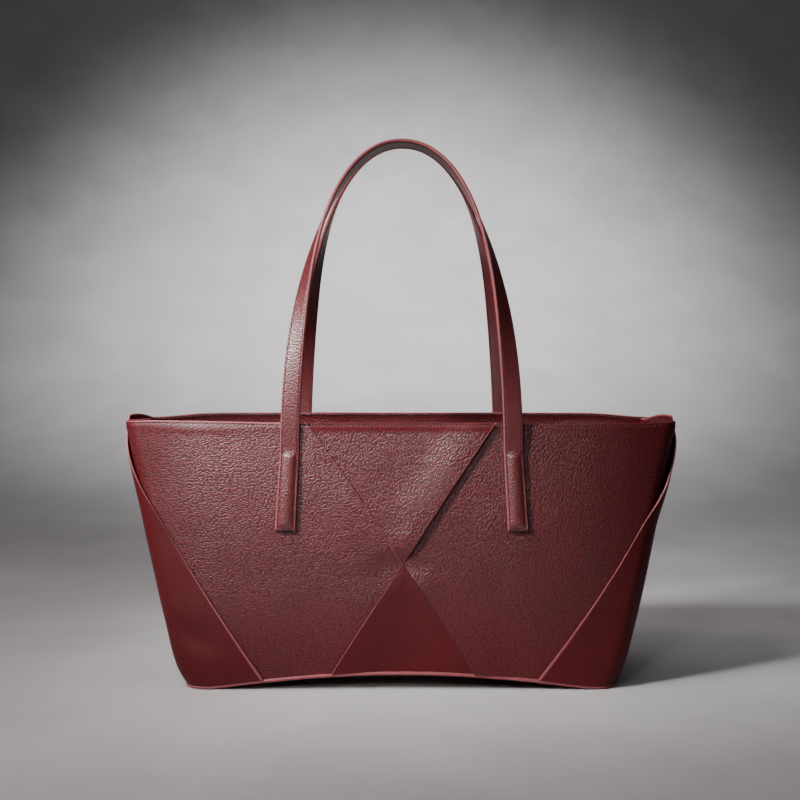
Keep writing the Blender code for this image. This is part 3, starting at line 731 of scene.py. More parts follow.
def pebbled_leather(
    name, colours, pebble, depth, roughness, shade=1.0, hem_relief=1.0, crease_shading=1.0, sheen=(0, 1)
):
    """Drum-dyed calf, pebbled by tumbling: soft elongated pebbles, a satin face that goes greyish
    in a broad light, and fine pores. The creases between the pebbles are darker, partly the grain's
    own tone and partly painted shade. It is pulled flatter near the base, the ends and the rim."""
    material, tree, shader = new_material(name)
    uv = add_node(tree, "ShaderNodeUVMap", uv_map="grain").outputs["UV"]
    place = object_place(tree)
    wander = fine_noise(tree, place, WANDER_SCALE, 2).outputs["Color"]
    centred = vector_arithmetic(tree, "SUBTRACT", wander, (0.5, 0.5, 0.5))
    pushed = vector_arithmetic(tree, "MULTIPLY_ADD", centred, (GRAIN_WANDER, GRAIN_WANDER, 0), uv)
    scaled = vector_arithmetic(tree, "MULTIPLY", pushed, (1 / pebble[0], 1 / pebble[1], 1))
    cells = add_node(
        tree,
        "ShaderNodeTexVoronoi",
        {"Vector": scaled, "Scale": 1, "Smoothness": 0.7, "Randomness": 1},
        voronoi_dimensions="2D",
        feature="SMOOTH_F1",
    )
    pebbles = ramp(tree, cells.outputs["Distance"], *PEBBLE_SLOPE, 1, 0)
    ripples = fine_noise(tree, scaled, RIPPLE_SCALE, 3, noise_dimensions="2D").outputs["Fac"]
    pores = fine_noise(tree, place, PORE_SCALE, 2).outputs["Fac"]
    height = arithmetic(tree, "MULTIPLY_ADD", ripples, RIPPLE_SHARE, pebbles)
    height = arithmetic(tree, "MULTIPLY_ADD", pores, PORE_SHARE, height)
    at = add_node(tree, "ShaderNodeSeparateXYZ", {"Vector": place}).outputs
    low = ramp(tree, at["Z"], *LOW_RELIEF)
    ends = ramp(tree, arithmetic(tree, "ABSOLUTE", at["X"]), *END_RELIEF)
    hem = ramp(tree, at["Z"], *HEM_SPAN, 1, hem_relief)
    firmness = arithmetic(tree, "MULTIPLY", low, ends)
    relief = arithmetic(tree, "MULTIPLY", firmness, hem)
    emboss(tree, shader, height, depth, relief)
    cloud = fine_noise(tree, place, CLOUD_SCALE, 3).outputs["Fac"]
    tones = (tone * shade for tone in CLOUD_TONES)
    tone = ramp(tree, cloud, *CLOUD_RANGE, *tones, "LINEAR")
    # Painted shade, partly the grain's own tone: the creases between the pebbles are mixed towards
    # the darker crease colour
    shade_mix = arithmetic(tree, "MULTIPLY_ADD", pebbles, crease_shading, 1 - crease_shading)
    dyed_and_shaded = add_node(tree, "ShaderNodeMix", {0: shade_mix}, data_type="RGBA")
    dyed_and_shaded.inputs[6].default_value = (*colours.crease_shade, 1)
    dyed_and_shaded.inputs[7].default_value = (*colours.leather, 1)
    tint(tree, shader, dyed_and_shaded.outputs[2], tone)
    gloss = ramp(tree, relief, FIRMEST, 1, *sheen, "LINEAR")
    rough = ramp(tree, firmness, FIRMEST, 1, roughness + ROUGHER, roughness, "LINEAR")
    tree.links.new(gloss, shader.inputs["Specular IOR Level"])
    tree.links.new(rough, shader.inputs["Roughness"])
    return material


def mottled(name, shade, pattern, tones, roughness, depth=0, strength=1, specular=0.5):
    """A finish whose tone, and relief where it has any depth, follow a fine pattern."""
    material, tree, shader = new_material(name)
    value = pattern(tree)
    tint(tree, shader, tuple(shade), ramp(tree, value, 0, 1, *tones, "LINEAR"))
    if depth:
        emboss(tree, shader, value, depth, strength)
    shader.inputs["Roughness"].default_value = roughness
    shader.inputs["Specular IOR Level"].default_value = specular
    return material


def grains(scale, detail=2):
    return lambda tree: fine_noise(tree, object_place(tree), scale, detail).outputs["Fac"]


def twill_ribs(tree):
    inputs = {
        "Vector": add_node(tree, "ShaderNodeUVMap", uv_map="grain").outputs["UV"],
        "Scale": 1 / TWILL_RIB / 6.283,
        "Distortion": 0.4,
        "Detail": 1,
    }
    settings = {"wave_type": "BANDS", "bands_direction": "DIAGONAL"}
    return add_node(tree, "ShaderNodeTexWave", inputs, **settings).outputs["Fac"]


def new_finish(name):
    colours, stage = bpy.context.scene.tote_colours, bpy.context.scene.tote_stage
    leathers = {
        "panel_leather": PANEL_GRAIN,
        "gore_leather": GORE_GRAIN,
        "flap_leather": FLAP_GRAIN,
        "strap_leather": STRAP_GRAIN,
    }
    if name in leathers:
        return pebbled_leather(name, colours, **leathers[name])
    others = {
        # Cut edges sealed with several coats of acrylic paint, sanded between coats: smooth and
        # satin, lighter than the face, partly the paint's own colour and partly a painted highlight
        # where light catches the rounded edges
        "edge_paint_and_highlight": (colours.edge, grains(420), (0.82, 1.15), 0.5, 0.08 * MM, 0.5, 0.35),
        # A dark strip of stretched smooth leather at an edge: painted shade, in the crease colour,
        # for the shadowed line along the right panel's lower seam
        "painted_shade_edge": (colours.crease_shade, grains(700), (0.35, 0.65), 0.55, 0.1 * MM, 0.6),
        # Bonded polyester thread with a wax finish: the twist shows as fine ribs
        "waxed_thread": (colours.thread, grains(2600, 1), (0.6, 1.3), 0.5, 0.06 * MM, 0.6),
        # Painted shade: a nearly black blob at the mouth of each needle hole, where the thread
        # dives into the leather
        "needle_hole_shade": (colours.crease_shade, grains(900), (0.02, 0.1), 0.9),
        # Woven cotton twill: matt, with slanted ribs drawn coarser than real so that they show
        "twill_lining": (colours.lining, twill_ribs, (0.75, 1.15), 0.85, 0.15 * MM, 0.8),
        # Pressed fibre board: matt grey with flecks
        "grey_board": (colours.board, grains(500, 4), (0.8, 1.2), 0.9),
        # Studio paper: matt and even, with a faint mottle
        "seamless_paper": (stage.paper, grains(9, 6), (0.8, 1.2), 0.75),
    }
    return mottled(name, *others[name])


def finish_named(name):
    """A finish that an earlier operator has made, or a new one."""
    return bpy.data.materials.get(name) or new_finish(name)


# Pieces of the faces


def side_panel(form, name, is_left, node):
    """A whole side panel: the left one lies over at the rim's seam, the right one at the foot's."""
    sign = -1 if is_left else 1
    rim_arm = form.crossing.rim_left if is_left else form.crossing.rim_right
    foot_arm = form.crossing.foot_left if is_left else form.crossing.foot_right
    over = rim_arm if is_left else foot_arm
    columns, rows_below, rows_above = 112, 40, 48

    def seam_edge(z):
        if abs(z - CROSSING_HEIGHT) < SEAM_SLIT:
            return CROSSING_X + sign * SEAM_SLIT
        arm = rim_arm if z > CROSSING_HEIGHT else foot_arm
        return arm.x(z) if arm is over else arm.tucked_x(z, sign)

    def column_reach(column, z):
        end = min(form.flap_reach(z, not is_left) + FLAP_TUCK, form.side_reach(z) - PLEAT_MARGIN)
        return mix(seam_edge(z), sign * end, (column / columns) ** PANEL_CROWDING)

    def row_height(row, reach):
        if row <= rows_below:
            return mix(CROSSING_HEIGHT, form.foot(reach), even_ends(1 - row / rows_below))
        return mix(CROSSING_HEIGHT, form.rim, even_ends((row - rows_below) / rows_above))

    def place(column, row):
        reach, z = settle(
            row_height(row, 0),
            lambda z: column_reach(column, z),
            lambda reach: row_height(row, reach),
        )
        return form.placed(reach, z, panel_out(form, reach, z, over))

    rows = rows_below + rows_above
    shape = grid_shape(columns, rows, place, level_grain if is_left else steep_grain)
    # The strip along the seam, and on the left panel the rim row, take the second finish; on the
    # left panel that is the lighter edge paint, partly a painted highlight along the edges
    paint_edge(shape, "column", 0)
    if is_left:
        paint_edge(shape, "row", rows)
    else:
        # On the right panel these strips, columns 0 and 1, are painted shade: a dark strip that
        # stands for the shadowed line along the lower seam
        paint_edge(shape, "column", 1)
    finishes = ("panel_leather", "edge_paint_and_highlight" if is_left else "painted_shade_edge")
    return sewn_sheet(name, node, shape, form.leather, finishes)


def gore(form, name, is_upper, node):
    """The triangle between the seams, tucked under along one and laid over along the other."""
    crossing = form.crossing
    end_height = form.rim if is_upper else FOOT_MARK_HEIGHT
    over = crossing.rim_right if is_upper else crossing.foot_left
    under = crossing.rim_left if is_upper else crossing.foot_right
    edge = LOOSE_EDGE if is_upper else LAP_EDGE
    sign = 1 if is_upper else -1
    columns, rows = 84, 64

    def column_reach(column, z):
        across = (column / columns) ** GORE_CROWDING
        return mix(over.x(z), under.tucked_x(z, sign), across)

    def place(column, row):
        tip, share = CROSSING_HEIGHT + sign * TIP_HEIGHT, even_ends(row / rows, 0.5)
        reach, z = settle(
            mix(tip, end_height, share),
            lambda z: column_reach(column, z),
            lambda reach: mix(tip, form.rim if is_upper else form.foot(reach), share),
        )
        return form.placed(reach, z, panel_out(form, reach, z, over, edge))

    shape = grid_shape(columns, rows, place, steep_grain if is_upper else level_grain)
    # The strip along the edge that lies over the next panel takes the lighter edge paint, partly a
    # painted highlight along the edge
    paint_edge(shape, "column", 0)
    leather = "gore_leather" if is_upper else "flap_leather"
    return sewn_sheet(name, node, shape, form.leather, (leather, "edge_paint_and_highlight"))


def gusset(front, rear, name, sign, node):
    """One side of the bag, from its front flap round to its rear flap."""
    half, rows = sum(GUSSET_COLUMNS), 92

    def stations(form, z, right_hand, station):
        start, end = form.flap_reach(z, right_hand), form.side_reach(z)
        turn_end = form.flat_reach(z) + form.corner_radius(z) * math.pi / 2
        first = clamp(form.flat_reach(z), *(mix(start, end, at) for at in CORNER_START_LIMITS))
        second = clamp(turn_end, *(mix(first, end, at) for at in CORNER_END_LIMITS))
        for low, high, count in zip((start, first, second), (first, second, end), GUSSET_COLUMNS):
            if station <= count:
                return mix(low, high, station / count)
            station -= count
        return end

    def place(column, row):
        form = front if column <= half else rear
        local = sign * form.side
        station, share = half - abs(column - half), even_ends(row / rows, 0.5)
        reach, z = settle(
            mix(form.welt_space, form.rim, share),
            lambda z: stations(form, z, local > 0, station),
            lambda reach: mix(form.foot(reach), form.rim, share),
        )
        start, end = form.flap_reach(z, local > 0), form.side_reach(z)
        phase = mix(*LOOP_PHASES, clamp((reach - start) / (end - start)))
        loop = max(0, math.sin(math.pi * phase))
        loop *= FRONT_LOOP if form.side == FRONT else REAR_LOOP
        edge = 1 - smooth((reach - start) / FLAP_LIFT_WIDTH)
        high = fade_in(z, *FLAP_LIFT_SPAN) * (1 - fade_in(z, *FLAP_LIFT_END))
        standoff = (FLAP_LIFT_RIGHT if local > 0 else FLAP_LIFT_LEFT) * edge * high
        at = form.on(local * reach, z, form.leather * 1.5 + FLAP_GAP + standoff)
        at.z += loop * fade_in(z - form.rim, -LOOP_HEIGHT, LOOP_HEIGHT)
        return form.turned(at), reach, z

    shape = grid_shape(2 * half, rows, place, flap_grain)
    # The flap's edges and top row take the lighter edge paint, partly a painted highlight along the
    # edges
    paint_edge(shape, "column", 0)
    paint_edge(shape, "column", 2 * half)
    paint_edge(shape, "row", rows)
    if sign < 0:
        bmesh.ops.reverse_faces(shape, faces=shape.faces[:])
    return sewn_sheet(name, node, shape, front.leather, ("flap_leather", "edge_paint_and_highlight"))


# The inside


def rim_facing(form, name, node):
    columns, rows = 150, 12

    def place(column, row):
        z = mix(form.rim - FACING_HEIGHT, form.rim, row / rows)
        reach = mix(-form.flat_reach(z), form.flat_reach(z), column / columns)
        return form.placed(reach, z, -(FACING_STANDOFF + FACING / 2))

    shape = grid_shape(columns, rows, place, steep_grain)
    return sewn_sheet(name, node, shape, FACING, ("panel_leather", "edge_paint_and_highlight"))


def anchor_patch(form, name, sign, node):
    """A strip behind a tab, which keeps its stitches from tearing out."""
    columns, rows = 10, 20
    foot = form.rim - TAB_DROP - form.size.tab_length
    half = TAB_FOOT_WIDTH / 2 + PATCH_MARGIN

    def place(column, row):
        z = mix(foot - PATCH_MARGIN, form.rim - FACING_HEIGHT - GAP, row / rows)
        middle = mix(TAB_FOOT_X, HINGE_X, (z - foot) / form.size.tab_length)
        reach = sign * middle + form.handle_shift + mix(-half, half, column / columns)
        return form.placed(reach, z, -(PATCH_STANDOFF + PATCH / 2))

    return cloth_sheet(name, node, grid_shape(columns, rows, place, straight_grain), PATCH)


def face_lining(form, name, node):
    columns, rows = 60, 34
    top = form.rim - FACING_HEIGHT + LINING_LAP

    def place(column, row):
        reach, z = settle(
            form.rim / 2,
            lambda z: mix(-form.flat_reach(z), form.flat_reach(z), column / columns),
            lambda reach: mix(form.base_lift(reach) + LINING_FOOT, top, row / rows),
        )
        at = Vector((reach * SLACK_SCALE[0], form.side, z * SLACK_SCALE[1]))
        slack = LINING_SLACK * noise.noise(at)
        return form.placed(reach, z, slack - LINING_INSET)

    piece = cloth_sheet(name, node, grid_shape(columns, rows, place, straight_grain), LINING)
    foot_width, top_width = 2 * form.flat_reach(0), 2 * form.flat_reach(top)


def side_lining(front, rear, name, sign, node):
    columns, rows = 48, 34
    half = columns // 2

    def place(column, row):
        form = front if column <= half else rear
        z = mix(LINING_FOOT, form.rim - SIDE_LINING_DROP, row / rows)
        across = abs(column - half) / half
        reach = mix(form.side_reach(z), form.flat_reach(z) + 2 * GAP, across)
        at = form.on(sign * form.side * reach, z, -SIDE_LINING_INSET)
        return form.turned(at), reach, z

    piece = cloth_sheet(name, node, grid_shape(columns, rows, place, straight_grain), LINING)
    widths = [2 * (front.side_reach(z) - front.flat_reach(z)) for z in (0, front.rim)]
    widths[1] += FOLD_EXTRA


def base_layer(form, thickness, lift):
    """A layer of the base that follows the arch."""
    columns, rows, corner_columns = 96, 34, 12
    z = form.welt_space
    reach_x, radius = form.half_width(z) - GAP, form.corner_radius(z) - GAP
    straight = reach_x - radius

    def column_x(column):
        if column < corner_columns:
            return -straight - radius * math.cos(math.pi / 2 * column / corner_columns)
        if column > columns - corner_columns:
            return -column_x(columns - column)
        share = (column - corner_columns) / (columns - 2 * corner_columns)
        return mix(-straight, straight, share)

    def place(column, row):
        x = column_x(column)
        past = max(0.0, abs(x) - straight)
        corner = radius - math.sqrt(max(0.0, radius**2 - past**2))
        outwards = (min(abs(x), reach_x) / form.half_width(z)) ** FACE_BOW_POWER
        bow = form.face_bow(z) * (1 - outwards)
        y = (form.end_half_depth(z) - GAP + bow - corner) * mix(-1, 1, row / rows)
        return Vector((x, y, form.base_lift(x) + lift + thickness / 2)), x, y

    return grid_shape(columns, rows, place, straight_grain)


def welt_path(form, radius):
    """Middle line of the welt, once round the base."""
    z = form.welt_space
    flat, middle = form.flat_reach(z), form.side_reach(z)
    quarter = [mix(0, flat, i / WELT_STEPS) for i in range(WELT_STEPS)]
    quarter += [mix(flat, middle, i / WELT_STEPS) for i in range(WELT_STEPS + 1)]
    points = []
    for turn in range(4):
        part = quarter[:-1] if turn % 2 == 0 else [*reversed(quarter)][:-1]
        for reach in part:
            at = form.point(reach, z) + form.normal(reach, z) * (radius + WELT_STANDOFF)
            x = at.x if turn in (0, 1) else -at.x
            y = at.y if turn in (0, 3) else -at.y
            points.append(Vector((x, y, form.base_lift(x) + radius)))
    return points


def closed_tube(points, radius, sides):
    """A round roll along a closed path."""
    count = len(points)

    def place(column, row):
        at = points[row % count]
        along = (points[(row + 1) % count] - points[(row - 1) % count]).normalized()
        out = along.cross(Vector((0, 0, 1))).normalized()
        up = out.cross(along)
        angle = 2 * math.pi * column / sides
        swell = 1 + WELT_SWELL * math.sin(row * WELT_SWELL_TURN)
        around = (out * math.cos(angle) + up * math.sin(angle)) * radius * swell
        return at + around, row * WELT_STEP, angle * radius

    shape = grid_shape(sides, count, place, straight_grain)
    bmesh.ops.remove_doubles(shape, verts=shape.verts[:], dist=0.01 * MM)
    bmesh.ops.recalc_face_normals(shape, faces=shape.faces[:])
    return shape


# Handles


class Strap:
    """The line of one handle: from the foot of its left tab up over the top to its right tab."""

    def __init__(self, form):
        self.form = form
        self.width, self.thick = form.size.strap_width, form.size.strap_thickness
        self.tab_length = form.size.tab_length
        self.tab_top = form.rim - TAB_DROP
        self.tab_foot = self.tab_top - self.tab_length
        self.out = form.leather + GAP + STRAP_LAYER + GAP / 2
        tab_rows, arc_rows = 46, 300
        self.rows = [self.tab_row(-1, i / tab_rows) for i in range(tab_rows)]
        self.rows += [self.arc_row(i / arc_rows) for i in range(arc_rows + 1)]
        self.rows += [self.tab_row(1, 1 - (i + 1) / tab_rows) for i in range(tab_rows)]
        self.run = [0.0]
        for before, after in zip(self.rows, self.rows[1:]):
            self.run.append(self.run[-1] + (after[0] - before[0]).length)

    def tab_row(self, sign, share):
        z = mix(self.tab_foot, self.tab_top, share)
        reach = sign * mix(TAB_FOOT_X, HINGE_X, share)
        ways = (reach, reach - TAB_PROBE, reach + TAB_PROBE)
        at, before, after = (self.form.on(way, z, self.out) for way in ways)
        across = (after - before).normalized()
        normal = self.form.normal(reach, z)
        normal = (normal - across * normal.dot(across)).normalized()
        half = mix(TAB_FOOT_WIDTH, self.width, share) / 2
        return at, across * sign, normal, half

    def middle(self, share):
        start = self.form.on(math.copysign(HINGE_X, share - 0.5), self.tab_top, self.out)
        start.x = abs(start.x)
        leg = Vector((HANDLE_LEG_X, start.y - HANDLE_STANDOFF, start.z + HANDLE_LEG_PULL))
        top = self.form.rim + self.form.size.handle_rise
        shoulder_x = FRONT_SHOULDER_X if self.form.side == FRONT else REAR_SHOULDER_X
        shoulder = Vector((shoulder_x, -HANDLE_APEX_Y, top))
        apex = Vector((0, -HANDLE_APEX_Y, top))
        along = 1 - abs(2 * share - 1)
        rest = 1 - along
        at = start * rest**3 + leg * 3 * rest**2 * along
        at = at + shoulder * 3 * rest * along**2 + apex * along**3
        if share < 0.5:
            at.x = -at.x
        return at

    def arc_row(self, share):
        step = 0.0005
        at = self.middle(share)
        before, after = self.middle(max(0, share - step)), self.middle(min(1, share + step))
        tangent = (after - before).normalized()
        twist = TWIST_TURN * fade_in(at.z - self.tab_top, *TWIST_SPAN)
        front = self.form.normal(math.copysign(HINGE_X, share - 0.5), self.tab_top)
        front = (front - tangent * front.dot(tangent)).normalized()
        outward = tangent.cross(front)
        if outward.dot(Vector((at.x, 0, at.z - self.tab_top))) < 0:
            outward = -outward
        normal = front * math.cos(twist) + outward * math.sin(twist)
        return at, normal.cross(tangent).normalized(), normal, self.width / 2

    def at(self, run, offset, height):
        """A point of the strap, given the way along it, across it and out of its middle."""
        low, high = 0, len(self.run) - 1
        run = clamp(run, 0, self.run[-1])
        while high - low > 1:
            middle = (low + high) // 2
            if self.run[middle] <= run:
                low = middle
            else:
                high = middle
        share = (run - self.run[low]) / max(1e-9, self.run[high] - self.run[low])
        a, b = self.rows[low], self.rows[high]
        across = (a[1] * (1 - share) + b[1] * share).normalized()
        normal = (a[2] * (1 - share) + b[2] * share).normalized()
        at = a[0] * (1 - share) + b[0] * share + across * offset + normal * height
        at.x += self.form.handle_shift
        return at, across, normal

    def half_width_at(self, run):
        share = clamp(min(run, self.run[-1] - run) / self.tab_length)
        return mix(TAB_FOOT_WIDTH, self.width, share) / 2

    def pad_at(self, end, from_edge):
        """How far the filler lifts the tab's middle."""
        top = 1 - fade_in(end - self.tab_length, *PAD_TOP_END)
        start, width = PAD_EDGE_SPAN
        across = math.sin(math.pi / 2 * clamp((from_edge - start) / width)) ** PAD_POWER
        return PAD_RISE * fade_in(end, *PAD_FOOT_SPAN) * top * across


def handle(strap, name, nodes):
    """The whole strap as one piece: it bends where it leaves its tabs."""
    half_thick = strap.thick / 2
    profile = [(share * strap.thick, height) for share, height in STRAP_EDGE_SHARES]
    profile += [(distance * MM, 1.0) for distance in STRAP_INNER_COLUMNS] + [(None, 1.0)]
    side = profile + [*reversed(profile[:-1])]
    loop = [(i, entry, 1) for i, entry in enumerate(side)]
    loop += [(i, entry, -1) for i, entry in reversed([*enumerate(side)])][1:-1]
    columns, rows = len(loop), len(strap.rows) - 1

    def place(column, row):
        index, (distance, height), face = loop[column % columns]
        at, across, normal, half = strap.rows[row]
        run = strap.run[row]
        end = min(run, strap.run[-1] - run)
        from_edge = half if distance is None else distance
        offset = (half - from_edge) * (-1 if index < len(profile) - 1 else 1)
        out = face * height * half_thick
        if abs(from_edge - STITCH_INSET) < 0.1 * MM:
            out -= face * STITCH_GROOVE
        if face > 0:
            out += strap.pad_at(end, from_edge)
        if end < STRAP_END_ROUND:
            out *= math.sqrt(clamp(1 - (1 - clamp(end / STRAP_END_ROUND)) ** 2))
        point = at + across * offset + normal * out
        point.x += strap.form.handle_shift
        return strap.form.turned(point), offset, run

    shape = grid_shape(columns, rows, place, straight_grain)
    bmesh.ops.remove_doubles(shape, verts=shape.verts[:], dist=0.003 * MM)
    bmesh.ops.recalc_face_normals(shape, faces=shape.faces[:])
    uv = shape.loops.layers.uv.active
    # Faces near both edges take the lighter edge paint, partly a painted highlight along the
    # strap's rounded edges
    for face in shape.faces:
        offset = sum(abs(loop[uv].uv.x) for loop in face.loops) / len(face.loops)
        if offset > strap.width / 2 - STRAP_PAINT_WIDTH:
            face.material_index = 1
    finishes = ("strap_leather", "edge_paint_and_highlight")
    return finish_piece(name, shape, finishes, None, nodes)


def bend_at_hinge(piece):
    """Bakes the piece's placement into its mesh."""
    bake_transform(piece)


# Stitches


def one_stitch(gauge, pitch):
    """A thread that dives into its needle hole, lying along X, with a nearly black blob at the hole
    that paints its shade.
    """
    shape = bmesh.new()
    bmesh.ops.create_uvsphere(shape, u_segments=6, v_segments=4, radius=1)
    thread = shape.verts[:]
    hole = bmesh.ops.create_uvsphere(shape, u_segments=6, v_segments=3, radius=1)["verts"]
    for part, (long, wide, high), x, z in (
        (thread, THREAD_SHARES, 0, gauge * 0.1),
        (hole, HOLE_SHARES, pitch * 0.5, gauge * 0.04),
    ):
        bmesh.ops.scale(shape, vec=(pitch * long, gauge * wide, gauge * high), verts=part)
        bmesh.ops.translate(shape, vec=(x, 0, z), verts=part)
    for face in {face for vert in hole for face in vert.link_faces}:
        face.material_index = 1
    stitch = bpy.data.meshes.new("one_stitch")
    shape.to_mesh(stitch)
    shape.free()
    return stitch


def stitched_piece(name, stitches, body, size):
    """All the stitches of a row as one piece, each given by its place, direction and normal."""
    shape = bmesh.new()
    stitch = one_stitch(size.stitch_gauge, size.stitch_pitch)
    for at, along, normal in stitches:
        turn = Matrix((along, normal.cross(along).normalized(), normal)).transposed().to_4x4()
        place = Matrix.Translation(at) @ turn
        stitch.transform(place)
        shape.from_mesh(stitch)
        stitch.transform(place.inverted())
    bpy.data.meshes.remove(stitch)
    return finish_piece(name, shape, ("waxed_thread", "needle_hole_shade"), body)


def stitch_between(form, before, after, normal):
    """A stitch from one point to the other, square to the leather's normal."""
    along = (after - before).normalized()
    normal = (normal - along * normal.dot(along)).normalized()
    return tuple(form.turned(v) for v in ((before + after) / 2, along, normal))


def rim_stitches(form, inside):
    """The row just below the rim, through the panels and the facing."""
    z = form.rim - RIM_STITCH_DROP
    limit = form.flat_reach(z) - RIM_STITCH_MARGIN
    count = int(2 * limit / form.size.stitch_pitch)
    arms = form.crossing

    def out_at(reach):
        if inside:
            return -(FACING_STANDOFF + FACING)
        over, edge = arms.rim_right, LOOSE_EDGE
        if reach < arms.rim_left.x(z):
            over, edge = arms.rim_left, LAP_EDGE
        if reach > arms.rim_right.x(z):
            over, edge = arms.foot_right, LAP_EDGE
        return panel_out(form, reach, z, over, edge) + form.leather / 2

    stitches = []
    for i in range(count):
        reach = mix(-limit, limit, (i + 0.5) / count)
        before = form.on(reach - MM / 2, z, out_at(reach))
        after = form.on(reach + MM / 2, z, out_at(reach))
        normal = form.normal(reach, z) * (-1 if inside else 1)
        stitches.append(stitch_between(form, before, after, normal))
    return stitches


def strap_stitches(strap):
    """Both edges of the strap all the way, and across it at the ends of the tabs."""
    stitches = []
    form, pitch = strap.form, strap.form.size.stitch_pitch
    total, half_thick = strap.run[-1], strap.thick / 2
    count = int((total - 2 * STITCH_INSET) / pitch)
    step = (total - 2 * STITCH_INSET) / count
    for i in range(count):
        run = STITCH_INSET + (i + 0.5) * step
        faces = (1,) if min(run, total - run) < strap.tab_length else (1, -1)
        for hand in (-1, 1):
            offset = hand * (strap.half_width_at(run) - STITCH_INSET)
            for face in faces:
                height = face * (half_thick - STITCH_SINK)
                before, _, normal = strap.at(run - MM / 2, offset, height)
                after, _, _ = strap.at(run + MM / 2, offset, height)
                stitches.append(stitch_between(form, before, after, normal * face))
    for end_run in (STITCH_INSET, strap.tab_length + TOP_ROW_GAP):
        for run in (end_run, total - end_run):
            half = strap.half_width_at(run) - STITCH_INSET
            across_count = int(2 * half / pitch)
            for i in range(across_count):
                offset = mix(-half, half, (i + 0.5) / across_count)
                stitches.append(tuple(map(form.turned, strap.at(run, offset, half_thick))))
    return stitches


# Operators


class TOTE_OT_stage(bpy.types.Operator):
    """Makes the camera, the seamless paper and the lights"""

    bl_idname = "tote.stage"
    bl_label = "Stage"

    def execute(self, context):
        stage = context.scene.tote_stage
        self.camera(context, stage)
        self.paper()
        self.lights(context, stage)
        return {"FINISHED"}

    def camera(self, context, stage):
        data = bpy.data.cameras.new("camera")
        data.lens = stage.lens
        data.sensor_width = SENSOR_WIDTH
        data.clip_start, data.clip_end = 0.01, 50
        camera = bpy.data.objects.new("camera", data)
        camera.location = (CAMERA_X, -stage.camera_distance, stage.camera_height)
        camera.rotation_euler = (math.pi / 2 - stage.camera_tilt, 0, 0)
        context.scene.collection.objects.link(camera)
        context.scene.camera = camera

    def paper(self):
        """One sheet of paper: flat under the bag, then swept up behind it."""
        half, start, radius = PAPER_HALF_WIDTH, PAPER_START, PAPER_RADIUS

        def place(column, row):
            x, share = mix(-half, half, column / 8), row / PAPER_ROWS
            if share < 0.25:
                y, z = mix(-half, start, share / 0.25), 0
            elif share <= 0.75:
                angle = (share - 0.25) / 0.5 * math.pi / 2
                y, z = start + radius * math.sin(angle), radius - radius * math.cos(angle)
            else:
                y, z = start + radius, mix(radius, half, (share - 0.75) / 0.25)
            return Vector((x, y, z)), x, share

        shape = grid_shape(8, PAPER_ROWS, place, straight_grain)
        finish_piece("paper", shape, ("seamless_paper",), None)

    def lights(self, context, stage):
        # Place, target, width, spread in degrees, power and colour of each
        soft_lights = {
            "key_light": (
                (-0.85, -0.62, 0.95), (-0.09, -0.05, 0.25), 0.22, 30, stage.key_power, WHITE_LIGHT
            ),
            "sheen_light": (
                (-0.42, -1.05, 0.86), (-0.13, -0.05, 0.27), 0.5, 25, stage.sheen_power, WHITE_LIGHT
            ),
            "floor_light": (
                (-0.62, -0.3, 1.45), (-0.36, -0.3, 0), 0.3, 78, stage.floor_power, ROSE_LIGHT
            ),
            "top_light": ((0, 0.1, 1.9), (0, 0, 0), 1.4, 180, stage.top_power, WHITE_LIGHT),
        }
        for name, (place, target, width, spread, watts, tinted) in soft_lights.items():
            data = self.aimed_light(context, name, "AREA", place, target, watts)
            data.shape = "DISK"
            data.size = width
            data.spread = math.radians(spread)
            data.color = linear(tinted)
        data = self.aimed_light(
            context, "wall_light", "SPOT", WALL_LIGHT_PLACE, WALL_LIGHT_TARGET, stage.wall_power
        )
        data.spot_size, data.spot_blend = WALL_LIGHT_ANGLE, 1.0
        data.shadow_soft_size = WALL_LIGHT_SIZE
        world = bpy.data.worlds.new("room")
        world.use_nodes = True
        backdrop = world.node_tree.nodes["Background"]
        backdrop.inputs["Color"].default_value = (*linear(ROOM_LIGHT), 1)
        backdrop.inputs["Strength"].default_value = ROOM_STRENGTH
        context.scene.world = world

    def aimed_light(self, context, name, kind, place, target, watts):
        data = bpy.data.lights.new(name, kind)
        data.energy = watts
        light = bpy.data.objects.new(name, data)
        light.location = place
        way = Vector(target) - Vector(place)
        light.rotation_euler = way.to_track_quat("-Z", "Y").to_euler()
        context.scene.collection.objects.link(light)
        return data


class TOTE_OT_faces(bpy.types.Operator):
    """Makes the four crossed panels of the front and of the rear"""

    bl_idname = "tote.faces"
    bl_label = "Face panels"

    def execute(self, context):
        for face, form in both_forms(context).items():
            side_panel(form, f"{face}_left_face", True, f"{face}_left_panel")
            side_panel(form, f"{face}_right_face", False, f"{face}_right_panel")
            gore(form, f"{face}_upper_triangle", True, f"{face}_upper_gore")
            gore(form, f"{face}_lower_triangle", False, f"{face}_lower_gore")
        return {"FINISHED"}


class TOTE_OT_gussets(bpy.types.Operator):
    """Makes the folded gussets with their flaps"""

    bl_idname = "tote.gussets"
    bl_label = "Gussets"

    def execute(self, context):
        front, rear = both_forms(context).values()
        gusset(front, rear, "left_side", -1, "left_gusset")
        gusset(front, rear, "right_side", 1, "right_gusset")
        return {"FINISHED"}


